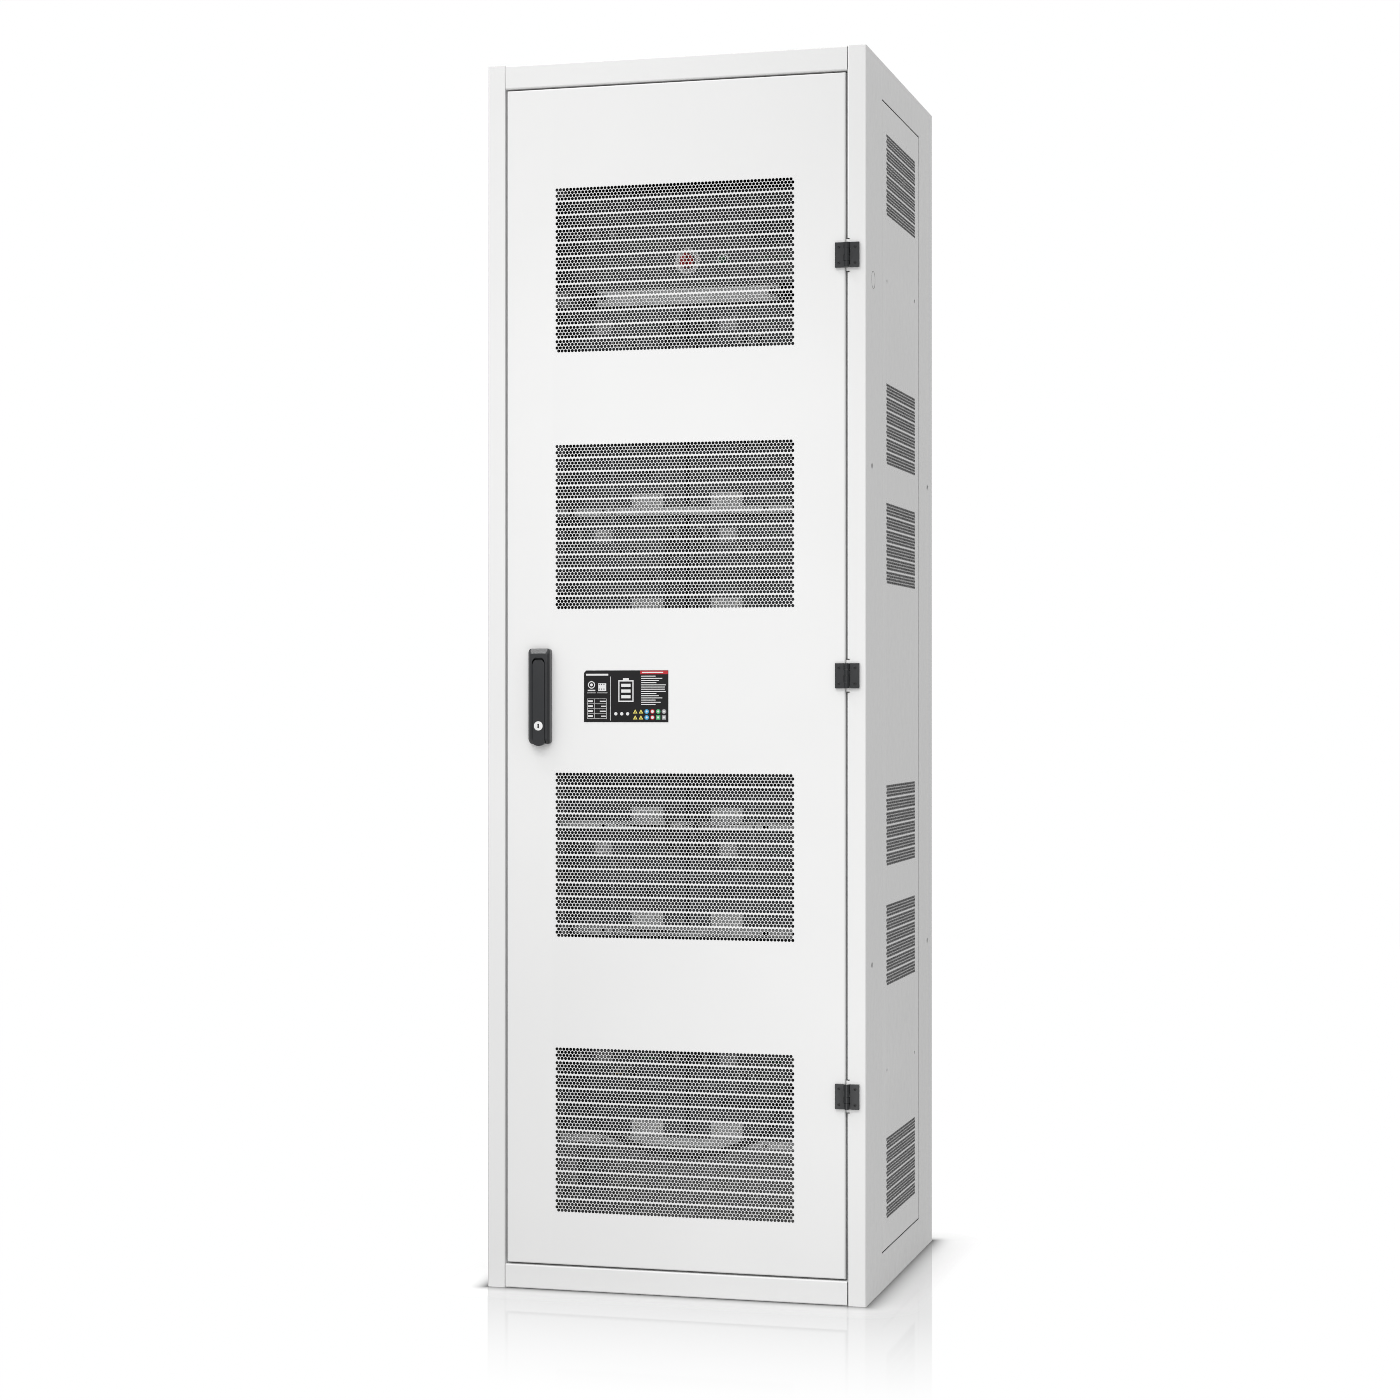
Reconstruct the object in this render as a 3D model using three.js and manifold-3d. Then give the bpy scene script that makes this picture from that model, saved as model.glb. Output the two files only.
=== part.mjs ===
// Battery cabinet: a tall sheet-steel rack cabinet with a flush perforated front door, two vented
// side panels, eight shelves of two battery modules each, a switchgear unit and a control unit.
// Units are millimetres. The origin is the centre of the footprint on the floor, +Z is up, the door
// faces -Y and its hinges are on the +X side.
import * as THREE from "three";
import { mergeVertices } from "three/addons/utils/BufferGeometryUtils.js";
import Module from "manifold-3d";

const wasm = await Module();
wasm.setup();

// ---------------------------------------------------------------- driving dimensions

const WIDTH = 650;
const DEPTH = 600;
const HEIGHT = 2055;
const SHEET = 2; // steel sheet of the frame, the panels and the door
const BEND = 0.8; // inner radius of a fold
const FIT = 0.3; // gap between neighbouring pieces
const THROUGH = 5; // how far a cutting tool runs past the sheet it cuts

const FRONT = -DEPTH / 2; // plane of the front face
const BACK = DEPTH / 2;
const SIDE = WIDTH / 2;

// Door opening, rear opening and the folded stops round them
const POST_FACE = 31.5; // width of a side frame's front face beside the door
const RAIL_FACE = 40; // height of the front rails above and below the door
const STOP_WIDTH = 13.5; // how far a side stop reaches into the opening
const RAIL_STOP = 16; // how far a rail's stop reaches into the opening
const OPENING_X = SIDE - POST_FACE; // half width of the opening
const OPENING_TOP = HEIGHT - RAIL_FACE;
const STOP_X = OPENING_X - STOP_WIDTH;
const STOP_BACK = FRONT + 34; // back of the door stop
const REAR_STOP = BACK - 12; // front of the rear stop

// Door
const DOOR_GAP = 3;
const DOOR_X = OPENING_X - DOOR_GAP; // half width of the door
const DOOR_BOTTOM = RAIL_FACE + DOOR_GAP;
const DOOR_TOP = OPENING_TOP - DOOR_GAP;
const DOOR_BACK = FRONT + 25;
const DOOR_LIP = 12;
const DOOR_MIDDLE = (DOOR_BOTTOM + DOOR_TOP) / 2;
const GASKET_INSET = 0.5;
const GASKET_WIDTH = 9.5;

// Punched vents: bands of four staggered hole rows, cut here as one slot per band
const HOLE_PITCH = 6;
const HOLE_DIAMETER = 4;
const ROWS_PER_BAND = 4;
const BAND_PITCH = 23.1;
const BAND_HEIGHT = (ROWS_PER_BAND - 1) * HOLE_PITCH * Math.sin(Math.PI / 3) + HOLE_DIAMETER;
const DOOR_VENT = { columns: 68, bands: 12, centres: [269, 729, 1277.5, 1707] };
const SIDE_VENT = { columns: 43, bands: 6, centres: [182, 574.5, 776.5, 1252.5, 1453.5, 1873.5] };

// Side sheets and side panels
const SIDE_OPENING = { y: 167, bottom: 62, top: HEIGHT - 62 };
const PANEL_GAP = 1;
const PANEL_DEPTH = 14;
const COUPLING_HOLES = { y: 251, heights: [552, 1373], radius: 5 };
const KNOCKOUT = { y: -241, z: 1680, radius: 14.3, slit: 0.9, bridge: 0.22 };

// Cable entry in the roof and the base, and the plate under the roof's one
const ENTRY = { x: 100, y: [150, 230] };
const GLAND_PLATE = { overlap: 12, thickness: 2, spacing: 62, hole: 20 };

// Mounting ladders, one each side
const LADDER_X = [279.5, 309.5];
const UPRIGHT_STARTS = [-240, 190];
const UPRIGHT_WIDTH = 30;
const TIE_HEIGHTS = [80, 364, 1028, 1693.5, 1975];

// Shelves and battery modules
const LEVELS = 8;
const LEVEL_PITCH = 176.8;
const FIRST_SHELF = 239; // underside of the lowest shelf's front lip
const SHELF = { sheet: 1.5, lip: 13, front: FRONT + 64.5, back: 205, flange: 25 };
const SHELF_TAB = { x: 69, width: 55, height: 25, y: FRONT + 84.5 };
const SHELF_STOP = { x: 220, height: 22 };
const LIP_HOLES = { near: 76, far: 141, width: 9, height: 7 };
const MODULE = { width: 214, depth: 414, height: 163, spacing: 109.5, cover: 8 };
const MODULE_FRONT = SHELF_TAB.y + SHELF.sheet + 1;
const TERMINAL = { x: 85, z: 132, width: 26, height: 28, proud: 9 };
const SOCKET = { x: 12.5, z: 104, width: 16, height: 12, deep: 6 };

// Switchgear and control unit, hung on the ladders by their front flanges
const UNIT = { x: 215, sheet: 1.5, front: FRONT + 93, earDepth: 47 };
const SWITCHGEAR = { bottom: 1656, top: 1846, back: 150 };
const CONTROL = { bottom: 1862, top: 1950, back: 60 };
const CARRIER = { x: 159, bottom: 1656.5, top: 1683, front: FRONT + 88 };
const FASCIA = { x: 240, bottom: 1686, top: 1843, front: FRONT + 88.5, back: UNIT.front - FIT };
const KNOB = { z: 1728, radius: 12.5, disc: 10, grip: 12, bar: 7, shaft: 4 };
const BUTTON = { x: 62, z: 1728, radius: 6, proud: 7, back: 8 };
const TURNING_GAP = 0.4;

// Cable between the two lowest modules
const CABLE = { radius: 5, y: FRONT + 53, sag: 225, spread: 0.0022, clear: 2 };

// Hinges
const HINGE = { x: 294, y: FRONT - 5, spacing: 686, width: 40, height: 41, knuckles: 4 };
const KNUCKLE = { radius: 4.7, bore: 2.1, pin: 2, clear: 5.2 };
const LEAF = { front: 0.2, back: 4.8 }; // measured back from the hinge axis
const HINGE_NOTCH = { offset: 26.8, width: 4, height: 2 };
const HINGE_TAB = { reach: 1.3, half: 25.8 };

// Handle and lock
const LOCK_X = -230;
const HANDLE = { half: 18.75, bottom: 914.5, top: 1074, front: FRONT - 17, corner: 5 };
const HANDLE_BACK = FRONT - 0.2;
const CHANNEL = { half: 11.3, floor: FRONT - 3.3, top: 1057.3, corner: 5 };
const PIVOT = { y: FRONT - 11, z: 1049, radius: 7.5 };
const LEVER = { half: 10.8, tip: 911, shoulder: 915.5, front: FRONT - 16.5, back: FRONT - 3.8 };
const PLUG = { z: 944.6, radius: 7.7, front: FRONT - 17, back: FRONT - 6.5, keyway: [1.6, 7, 3] };
const CAM = { disc: 24, hub: 5, crank: 18, pin: 2.5, tongue: [14, 55] };
const CAM_PLANES = { disc: [FRONT + 27, FRONT + 31], tongue: [FRONT + 39.5, FRONT + 43.5] };
const ROD = { width: 12, planes: [FRONT + 35.5, FRONT + 38.5], top: 1990, bottom: 65 };
const ROD_PLATE = { near: 6.5, far: 25.5, height: 17 };
const ROD_SLOT = { near: 9.5, far: 21.2, height: 6.4 };
const GUIDE = { half: 12, height: 20, upper: 1955, lower: 80, back: FRONT + 41.5, wall: 3 };

// Rating plate on the door
const PLATE = { x: [-155, -9], z: [951.3, 1037.3], thickness: 0.5, corner: 4 };

// ---------------------------------------------------------------- materials

const finish = (color, roughness = 0.5, metalness = 0.1) =>
  new THREE.MeshStandardMaterial({ color, roughness, metalness });
const WHITE_STEEL = finish(0xe6e6e5);
const INNER_STEEL = finish(0xd3d4d4);
const GALVANISED = finish(0xb9bcbe, 0.42, 0.85);
const MODULE_CASE = finish(0x7c858c, 0.6);
const DARK_CASE = finish(0x2d3033, 0.55);
const BLACK_PLASTIC = finish(0x1b1c1e);
const RUBBER = finish(0x151515, 0.9, 0);
const CHROME = finish(0xd8d9da, 0.2, 1);
const ZINC_STEEL = finish(0xa9adaf, 0.35, 0.9);
const RED_PLASTIC = finish(0xc0221c, 0.4);
const GREEN_PLASTIC = finish(0x2c8f4a, 0.4);

// ---------------------------------------------------------------- geometry helpers

const block = ([x0, x1], [y0, y1], [z0, z1]) =>
  new THREE.BoxGeometry(x1 - x0, y1 - y0, z1 - z0).translate((x0 + x1) / 2, (y0 + y1) / 2, (z0 + z1) / 2);
const both = (half) => [-half, half];
const around = (middle, width) => [middle - width / 2, middle + width / 2];
const ordered = (a, b) => [Math.min(a, b), Math.max(a, b)];

// A cylinder along "x", "y" or "z" from a to b, centred at u and v on the other two axes.
function rod(along, radius, [a, b], [u, v], segments = 16) {
  const g = new THREE.CylinderGeometry(radius, radius, b - a, segments);
  const middle = (a + b) / 2;
  if (along === "x") return g.rotateZ(Math.PI / 2).translate(middle, u, v);
  if (along === "y") return g.translate(u, middle, v);
  return g.rotateX(Math.PI / 2).translate(u, v, middle);
}

function solidOf(geometry) {
  const bare = geometry.clone();
  bare.deleteAttribute("normal");
  bare.deleteAttribute("uv");
  const merged = mergeVertices(bare, 1e-4);
  return new wasm.Manifold(
    new wasm.Mesh({
      numProp: 3,
      vertProperties: merged.attributes.position.array,
      triVerts: new Uint32Array(merged.index.array),
    }),
  );
}

function geometryOf(solid) {
  const { vertProperties, triVerts } = solid.getMesh();
  const g = new THREE.BufferGeometry();
  g.setAttribute("position", new THREE.BufferAttribute(new Float32Array(vertProperties), 3));
  g.setIndex(new THREE.BufferAttribute(new Uint32Array(triVerts), 1));
  g.computeVertexNormals();
  return g;
}

const join = (...pieces) => geometryOf(pieces.map(solidOf).reduce((a, b) => a.add(b)));
const cut = (body, ...tools) =>
  geometryOf(tools.map(solidOf).reduce((rest, tool) => rest.subtract(tool), solidOf(body)));
const common = (a, b) => geometryOf(solidOf(a).intersect(solidOf(b)));

// The same geometry with one axis reversed and its faces turned round so that they still point out.
function mirrored(geometry, axis) {
  const g = geometry.clone().scale(axis === "x" ? -1 : 1, 1, axis === "z" ? -1 : 1);
  const index = g.index.array;
  for (let i = 0; i < index.length; i += 3) {
    [index[i + 1], index[i + 2]] = [index[i + 2], index[i + 1]];
  }
  return g;
}

// The closed outline of a sheet folded along a centre line, with a round bend at each fold.
function sheetOutline(line, thickness, steps = 3) {
  const points = line.map(([x, y]) => new THREE.Vector2(x, y));
  const directions = points.slice(1).map((p, i) => p.clone().sub(points[i]).normalize());
  const leftOf = (d) => new THREE.Vector2(-d.y, d.x);
  const offset = (side) =>
    points.flatMap((p, i) => {
      const a = directions[i - 1] ?? directions[i];
      const b = directions[i] ?? a;
      if (a === b) return [p.clone().addScaledVector(leftOf(a), (side * thickness) / 2)];
      const turn = Math.sign(a.cross(b));
      const reach = (turn * (BEND + thickness / 2)) / (1 + a.dot(b));
      const centre = leftOf(a).add(leftOf(b)).multiplyScalar(reach).add(p);
      const radius = side === turn ? BEND : BEND + thickness;
      const angle = Math.atan2(a.cross(b), a.dot(b));
      return Array.from({ length: steps + 1 }, (_, k) => {
        const direction = a.clone().rotateAround(new THREE.Vector2(), (angle * k) / steps);
        return centre.clone().addScaledVector(leftOf(direction), -turn * radius);
      });
    });
  return new THREE.Shape([...offset(-1), ...offset(1).reverse()]);
}

const extrude = (shape, depth, curveSegments = 6) =>
  new THREE.ExtrudeGeometry(shape, { depth, bevelEnabled: false, curveSegments });

// A shape drawn in X and Z, extruded along Y.
const plateXZ = (shape, [y0, y1], curveSegments) =>
  extrude(shape, y1 - y0, curveSegments).rotateX(Math.PI / 2).translate(0, y1, 0);

// A shape drawn in Y and Z, extruded along X.
const plateYZ = (shape, [x0, x1], curveSegments) =>
  extrude(shape, x1 - x0, curveSegments).applyMatrix4(
    new THREE.Matrix4().set(0, 0, 1, x0, 1, 0, 0, 0, 0, 1, 0, 0, 0, 0, 0, 1),
  );

const polygon = (...corners) => new THREE.Shape(corners.map(([x, y]) => new THREE.Vector2(x, y)));

function roundedRectangle([x0, x1], [y0, y1], radius) {
  const shape = new THREE.Shape();
  shape.absarc(x1 - radius, y1 - radius, radius, 0, Math.PI / 2);
  shape.absarc(x0 + radius, y1 - radius, radius, Math.PI / 2, Math.PI);
  shape.absarc(x0 + radius, y0 + radius, radius, Math.PI, Math.PI * 1.5);
  shape.absarc(x1 - radius, y0 + radius, radius, Math.PI * 1.5, Math.PI * 2);
  return shape;
}

// A block hollowed from one side, which leaves a tray with walls of the sheet's thickness.
function tray([x0, x1], [y0, y1], [z0, z1], [axis, openSide], wall = SHEET) {
  const inner = { x: [x0 + wall, x1 - wall], y: [y0 + wall, y1 - wall], z: [z0 + wall, z1 - wall] };
  inner[axis][openSide] += (openSide === 1 ? 2 : -2) * wall;
  return cut(block([x0, x1], [y0, y1], [z0, z1]), block(inner.x, inner.y, inner.z));
}
const LOW = 0;
const HIGH = 1;

// Every band of a set of vents, as ranges in Z, and the length of a band.
const bandRanges = ({ bands, centres }) =>
  centres.flatMap((z) =>
    Array.from({ length: bands }, (_, i) => around(z + (i - (bands - 1) / 2) * BAND_PITCH, BAND_HEIGHT)),
  );
const bandLength = ({ columns }) => (columns - 0.5) * HOLE_PITCH + HOLE_DIAMETER;

// ---------------------------------------------------------------- scene graph

const cabinet = new THREE.Group();
const door = new THREE.Group();
const swingLever = new THREE.Group();
const rodLock = new THREE.Group();
cabinet.add(door);
door.add(swingLever, rodLock);

function add(parent, name, material, geometry, [x, y, z] = [0, 0, 0]) {
  const mesh = new THREE.Mesh(geometry, material);
  mesh.name = name;
  mesh.position.set(x, y, z);
  parent.add(mesh);
}

// ---------------------------------------------------------------- cabinet frame

// The +X side frame, one folded sheet: door stop, front face, side, rear face and rear stop.
function sideFrame() {
  const half = SHEET / 2;
  const line = [
    [STOP_X, STOP_BACK - half],
    [OPENING_X + half, STOP_BACK - half],
    [OPENING_X + half, FRONT + half],
    [SIDE - half, FRONT + half],
    [SIDE - half, BACK - half],
    [OPENING_X + half, BACK - half],
    [OPENING_X + half, REAR_STOP + half],
    [STOP_X, REAR_STOP + half],
  ];
  const sideSheet = [SIDE - THROUGH, SIDE + THROUGH];
  const behindFaces = (z) => block([STOP_X - THROUGH, SIDE - SHEET], both(BACK - SHEET), z);
  const couplings = COUPLING_HOLES.heights.flatMap((z) =>
    both(COUPLING_HOLES.y).map((y) => rod("x", COUPLING_HOLES.radius, sideSheet, [y, z], 18)),
  );
  return cut(
    extrude(sheetOutline(line, SHEET), HEIGHT),
    behindFaces([-THROUGH, SHEET + FIT]),
    behindFaces([HEIGHT - SHEET - FIT, HEIGHT + THROUGH]),
    block(sideSheet, both(SIDE_OPENING.y), [SIDE_OPENING.bottom, SIDE_OPENING.top]),
    ...couplings,
    ...knockoutSlits(sideSheet),
  );
}

// Two arc slits that leave a knock-out disc held by two bridges.
function knockoutSlits(x) {
  const { y, z, radius, slit, bridge } = KNOCKOUT;
  return [0, Math.PI].map((middle) => {
    const from = middle - Math.PI / 2 + bridge;
    const to = middle + Math.PI / 2 - bridge;
    const arc = new THREE.Shape();
    arc.absarc(y, z, radius, from, to, false);
    arc.absarc(y, z, radius - slit, to, from, true);
    return plateYZ(arc, x, 8);
  });
}

const hingeHeights = [-1, 0, 1].map((step) => DOOR_MIDDLE + step * HINGE.spacing);

// Beside each hinge the right frame narrows the door gap with a tab between two relief notches.
function hingeSideFrame() {
  const face = [FRONT, FRONT + SHEET];
  const tabs = hingeHeights.map((z) =>
    block([OPENING_X - HINGE_TAB.reach, OPENING_X + SHEET / 2], face, around(z, 2 * HINGE_TAB.half)),
  );
  const notches = hingeHeights.flatMap((z) =>
    both(HINGE_NOTCH.offset).map((offset) =>
      block(
        [OPENING_X - SHEET, OPENING_X + HINGE_NOTCH.width],
        [FRONT - SHEET, FRONT + 2 * SHEET],
        around(z + offset, HINGE_NOTCH.height),
      ),
    ),
  );
  return cut(join(sideFrame(), ...tabs), ...notches);
}

// The roof: one sheet whose front and rear edges fold down into a rail and a stop. The base is its mirror.
function roofTray() {
  const half = SHEET / 2;
  const stopTip = OPENING_TOP - RAIL_STOP;
  const line = [
    [STOP_BACK - half, stopTip],
    [STOP_BACK - half, OPENING_TOP + half],
    [FRONT + half, OPENING_TOP + half],
    [FRONT + half, HEIGHT - half],
    [BACK - half, HEIGHT - half],
    [BACK - half, OPENING_TOP + half],
    [REAR_STOP + half, OPENING_TOP + half],
    [REAR_STOP + half, stopTip],
  ];
  const rails = plateYZ(sheetOutline(line, SHEET), both(OPENING_X - FIT));
  const sheet = block(both(SIDE - SHEET - FIT), both(BACK - SHEET - BEND - FIT), [HEIGHT - SHEET, HEIGHT]);
  const stopClearance = [-1, 1].map((side) =>
    block(
      ordered(side * (STOP_X - FIT), side * (OPENING_X + FIT)),
      [STOP_BACK - SHEET - FIT, REAR_STOP + SHEET + FIT],
      [stopTip - THROUGH, HEIGHT - SHEET - FIT],
    ),
  );
  const entry = block(both(ENTRY.x), ENTRY.y, [HEIGHT - THROUGH, HEIGHT + THROUGH]);
  return cut(join(rails, sheet), ...stopClearance, entry);
}

function glandPlate() {
  const { overlap, thickness, spacing, hole } = GLAND_PLATE;
  const top = HEIGHT - SHEET - FIT;
  const z = [top - thickness, top];
  const middle = (ENTRY.y[0] + ENTRY.y[1]) / 2;
  const holes = [-spacing, 0, spacing].map((x) => rod("z", hole, [top - THROUGH, HEIGHT], [x, middle], 32));
  return cut(block(both(ENTRY.x + overlap), [ENTRY.y[0] - overlap, ENTRY.y[1] + overlap], z), ...holes);
}

function sidePanel() {
  const y = both(SIDE_OPENING.y - PANEL_GAP);
  const z = [SIDE_OPENING.bottom + PANEL_GAP, SIDE_OPENING.top - PANEL_GAP];
  const slots = bandRanges(SIDE_VENT).map((range) =>
    block([SIDE - THROUGH, SIDE + THROUGH], both(bandLength(SIDE_VENT) / 2), range),
  );
  return cut(tray([SIDE - PANEL_DEPTH, SIDE], y, z, ["x", LOW]), ...slots);
}

const rearPanel = () =>
  tray(
    both(OPENING_X - PANEL_GAP),
    [REAR_STOP + SHEET + FIT, BACK],
    [RAIL_FACE + PANEL_GAP, OPENING_TOP - PANEL_GAP],
    ["y", LOW],
  );

// The +X ladder: two channel uprights joined by flat ties, to which the side panel is screwed.
function ladder() {
  const half = SHEET / 2;
  const [inner, outer] = LADDER_X;
  const uprights = UPRIGHT_STARTS.map((y) => {
    const line = [
      [outer, y + half],
      [inner + half, y + half],
      [inner + half, y + UPRIGHT_WIDTH - half],
      [outer, y + UPRIGHT_WIDTH - half],
    ];
    const height = HEIGHT - 2 * (SHEET + FIT);
    return extrude(sheetOutline(line, SHEET), height).translate(0, 0, SHEET + FIT);
  });
  const span = [UPRIGHT_STARTS[0] + UPRIGHT_WIDTH - half, UPRIGHT_STARTS[1] + half];
  const ties = TIE_HEIGHTS.map((z) => block([outer - SHEET, outer], span, around(z, UPRIGHT_WIDTH)));
  return join(...uprights, ...ties);
}

add(cabinet, "side_frame_right", WHITE_STEEL, hingeSideFrame());
add(cabinet, "side_frame_left", WHITE_STEEL, mirrored(sideFrame(), "x"));
add(cabinet, "roof", WHITE_STEEL, roofTray());
add(cabinet, "base", WHITE_STEEL, mirrored(roofTray(), "z"), [0, 0, HEIGHT]);
add(cabinet, "gland_plate", GALVANISED, glandPlate());
add(cabinet, "side_panel_right", WHITE_STEEL, sidePanel());
add(cabinet, "side_panel_left", WHITE_STEEL, mirrored(sidePanel(), "x"));
add(cabinet, "rear_panel", WHITE_STEEL, rearPanel());
add(cabinet, "ladder_right", GALVANISED, ladder());
add(cabinet, "ladder_left", GALVANISED, mirrored(ladder(), "x"));

// ---------------------------------------------------------------- shelves and modules

// A shelf, with the underside of its front lip at z = 0.
function shelf() {
  const { sheet, lip, front, back, flange } = SHELF;
  const half = LADDER_X[0] - FIT;
  const deck = block(both(half), [front, back], [lip - sheet, lip]);
  const frontLip = block(both(half), [front, front + sheet], [0, lip]);
  const rearStop = block(both(SHELF_STOP.x), [back - sheet, back], [lip - sheet, lip + SHELF_STOP.height]);
  const flanges = [-1, 1].map((side) =>
    block(ordered(side * (half - sheet), side * half), [front, back], [lip - flange, lip]),
  );
  const tabs = both(SHELF_TAB.x).map((x) =>
    block(
      around(x, SHELF_TAB.width),
      [SHELF_TAB.y, SHELF_TAB.y + sheet],
      [lip - sheet, lip + SHELF_TAB.height],
    ),
  );
  const lipCut = [front - THROUGH, front + THROUGH];
  const holes = both(LIP_HOLES.near).map((x) => rod("y", sheet, lipCut, [x, lip / 2], 6));
  const slots = both(LIP_HOLES.far).map((x) =>
    block(around(x, LIP_HOLES.width), lipCut, around(lip / 2 - sheet / 2, LIP_HOLES.height)),
  );
  return cut(join(deck, frontLip, rearStop, ...flanges, ...tabs), ...holes, ...slots);
}

// A battery module, with the middle of its lower front edge at the origin.
function batteryModule() {
  const { width, depth, height, cover } = MODULE;
  const body = block(both(width / 2), [cover, depth], [0, height]);
  const front = block(both(width / 2 - 2), [0, cover + 1], [2, height - 2]);
  const terminals = both(TERMINAL.x).map((x) =>
    block(around(x, TERMINAL.width), [-TERMINAL.proud, 1], around(TERMINAL.z, TERMINAL.height)),
  );
  const panel = block(both(62.5), [-THROUGH, 2], [30, height - 13]);
  const sockets = both(SOCKET.x).map((x) =>
    block(around(x, SOCKET.width), [-THROUGH, SOCKET.deep], around(SOCKET.z, SOCKET.height)),
  );
  return cut(join(body, front, ...terminals), panel, ...sockets);
}

const shelfGeometry = shelf();
const moduleGeometry = batteryModule();
for (let level = 0; level < LEVELS; level += 1) {
  const z = FIRST_SHELF + level * LEVEL_PITCH;
  const deck = z + SHELF.lip + FIT;
  add(cabinet, `shelf_${level + 1}`, INNER_STEEL, shelfGeometry, [0, 0, z]);
  const name = `module_${level + 1}`;
  add(cabinet, `${name}_left`, MODULE_CASE, moduleGeometry, [-MODULE.spacing, MODULE_FRONT, deck]);
  add(cabinet, `${name}_right`, MODULE_CASE, moduleGeometry, [MODULE.spacing, MODULE_FRONT, deck]);
}

// A cable that leaves one terminal, sags in front of the lowest shelf's lip and enters the other terminal.
function linkCable() {
  const endX = MODULE.spacing + TERMINAL.x;
  const endY = MODULE_FRONT - TERMINAL.proud - CABLE.clear;
  const endZ = FIRST_SHELF + SHELF.lip + FIT + TERMINAL.z;
  const hang = [-150, -100, -50, 0, 50, 100, 150];
  const sagging = hang.map((x) => new THREE.Vector3(x, CABLE.y, CABLE.sag + CABLE.spread * x * x));
  const bend = (side) => [
    new THREE.Vector3(side * endX, endY, endZ),
    new THREE.Vector3(side * endX, endY - 9, endZ - 1),
    new THREE.Vector3(side * (endX - 2), CABLE.y + 3, endZ - 22),
  ];
  const path = new THREE.CatmullRomCurve3([...bend(-1), ...sagging, ...bend(1).reverse()]);
  const section = new THREE.Shape().absarc(0, 0, CABLE.radius, 0, 2 * Math.PI);
  return new THREE.ExtrudeGeometry(section, { steps: 28, curveSegments: 4, extrudePath: path });
}

add(cabinet, "link_cable", RUBBER, linkCable());

// ---------------------------------------------------------------- switchgear and control unit

// Flanges on a unit's front edge that reach the ladders and fold back along them.
function unitEars(bottom, top) {
  const half = LADDER_X[0] - FIT;
  const { x, sheet, front, earDepth } = UNIT;
  return [-1, 1].flatMap((side) => [
    block(ordered(side * (x - sheet), side * half), [front, front + sheet], [bottom, top]),
    block(ordered(side * (half - sheet), side * half), [front, front + earDepth], [bottom, top]),
  ]);
}

function switchgearCase() {
  const { bottom, top, back } = SWITCHGEAR;
  const box = tray(both(UNIT.x), [UNIT.front, back], [bottom, top], ["y", LOW], UNIT.sheet);
  const carrier = block(both(CARRIER.x), [CARRIER.front, UNIT.front + 1], [CARRIER.bottom, CARRIER.top]);
  return join(box, carrier, ...unitEars(bottom, top));
}

function switchgearFascia() {
  const plane = [FASCIA.front, FASCIA.back];
  const through = [FASCIA.front - THROUGH, FASCIA.back + THROUGH];
  return cut(
    block(both(FASCIA.x), plane, [FASCIA.bottom, FASCIA.top]),
    rod("y", KNOB.shaft + TURNING_GAP, through, [0, KNOB.z]),
    rod("y", BUTTON.radius + TURNING_GAP, through, [BUTTON.x, BUTTON.z]),
  );
}

function controlUnit() {
  const { bottom, top, back } = CONTROL;
  const box = tray(both(UNIT.x), [UNIT.front, back], [bottom, top], ["y", HIGH], UNIT.sheet);
  return join(box, ...unitEars(bottom, top));
}

function isolatorKnob() {
  const base = FASCIA.front - TURNING_GAP;
  const disc = rod("y", KNOB.radius, [base - KNOB.disc, base], [0, KNOB.z], 24);
  const shaft = rod("y", KNOB.shaft, [base - 1, FASCIA.back], [0, KNOB.z]);
  const grip = block(
    both(KNOB.bar / 2),
    [base - KNOB.disc - KNOB.grip, base - KNOB.disc + 1],
    around(KNOB.z, 2 * KNOB.radius - 3),
  );
  return join(disc, shaft, grip);
}

const resetButton = () =>
  rod("y", BUTTON.radius, [FASCIA.front - BUTTON.proud, FASCIA.back + BUTTON.back], [BUTTON.x, BUTTON.z]);

add(cabinet, "switchgear_case", INNER_STEEL, switchgearCase());
add(cabinet, "switchgear_fascia", DARK_CASE, switchgearFascia());
add(cabinet, "control_unit", DARK_CASE, controlUnit());
add(cabinet, "isolator_knob", RED_PLASTIC, isolatorKnob());
add(cabinet, "reset_button", GREEN_PLASTIC, resetButton());

// ---------------------------------------------------------------- hinges

// One leaf of a hinge about the axis x = y = 0: side 1 is the frame's leaf, side -1 the door's.
function hingeLeaf(side) {
  const segment = HINGE.height / HINGE.knuckles;
  const plate = block(
    ordered(side * KNUCKLE.clear, (side * HINGE.width) / 2),
    [LEAF.front, LEAF.back],
    both(HINGE.height / 2),
  );
  const rings = Array.from({ length: HINGE.knuckles }, (_, i) => i);
  const own = rings.filter((i) => i % 2 === (side === 1 ? 1 : 0));
  const knuckles = own.flatMap((i) => {
    const bottom = -HINGE.height / 2 + i * segment;
    const z = [bottom + FIT / 2, bottom + segment - FIT / 2];
    const arm = block(ordered(0, side * (KNUCKLE.clear + 1)), [LEAF.front, LEAF.back], z);
    return [rod("z", KNUCKLE.radius, z, [0, 0], 12), arm];
  });
  return cut(join(plate, ...knuckles), rod("z", KNUCKLE.bore, both(HINGE.height), [0, 0], 12));
}

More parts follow.
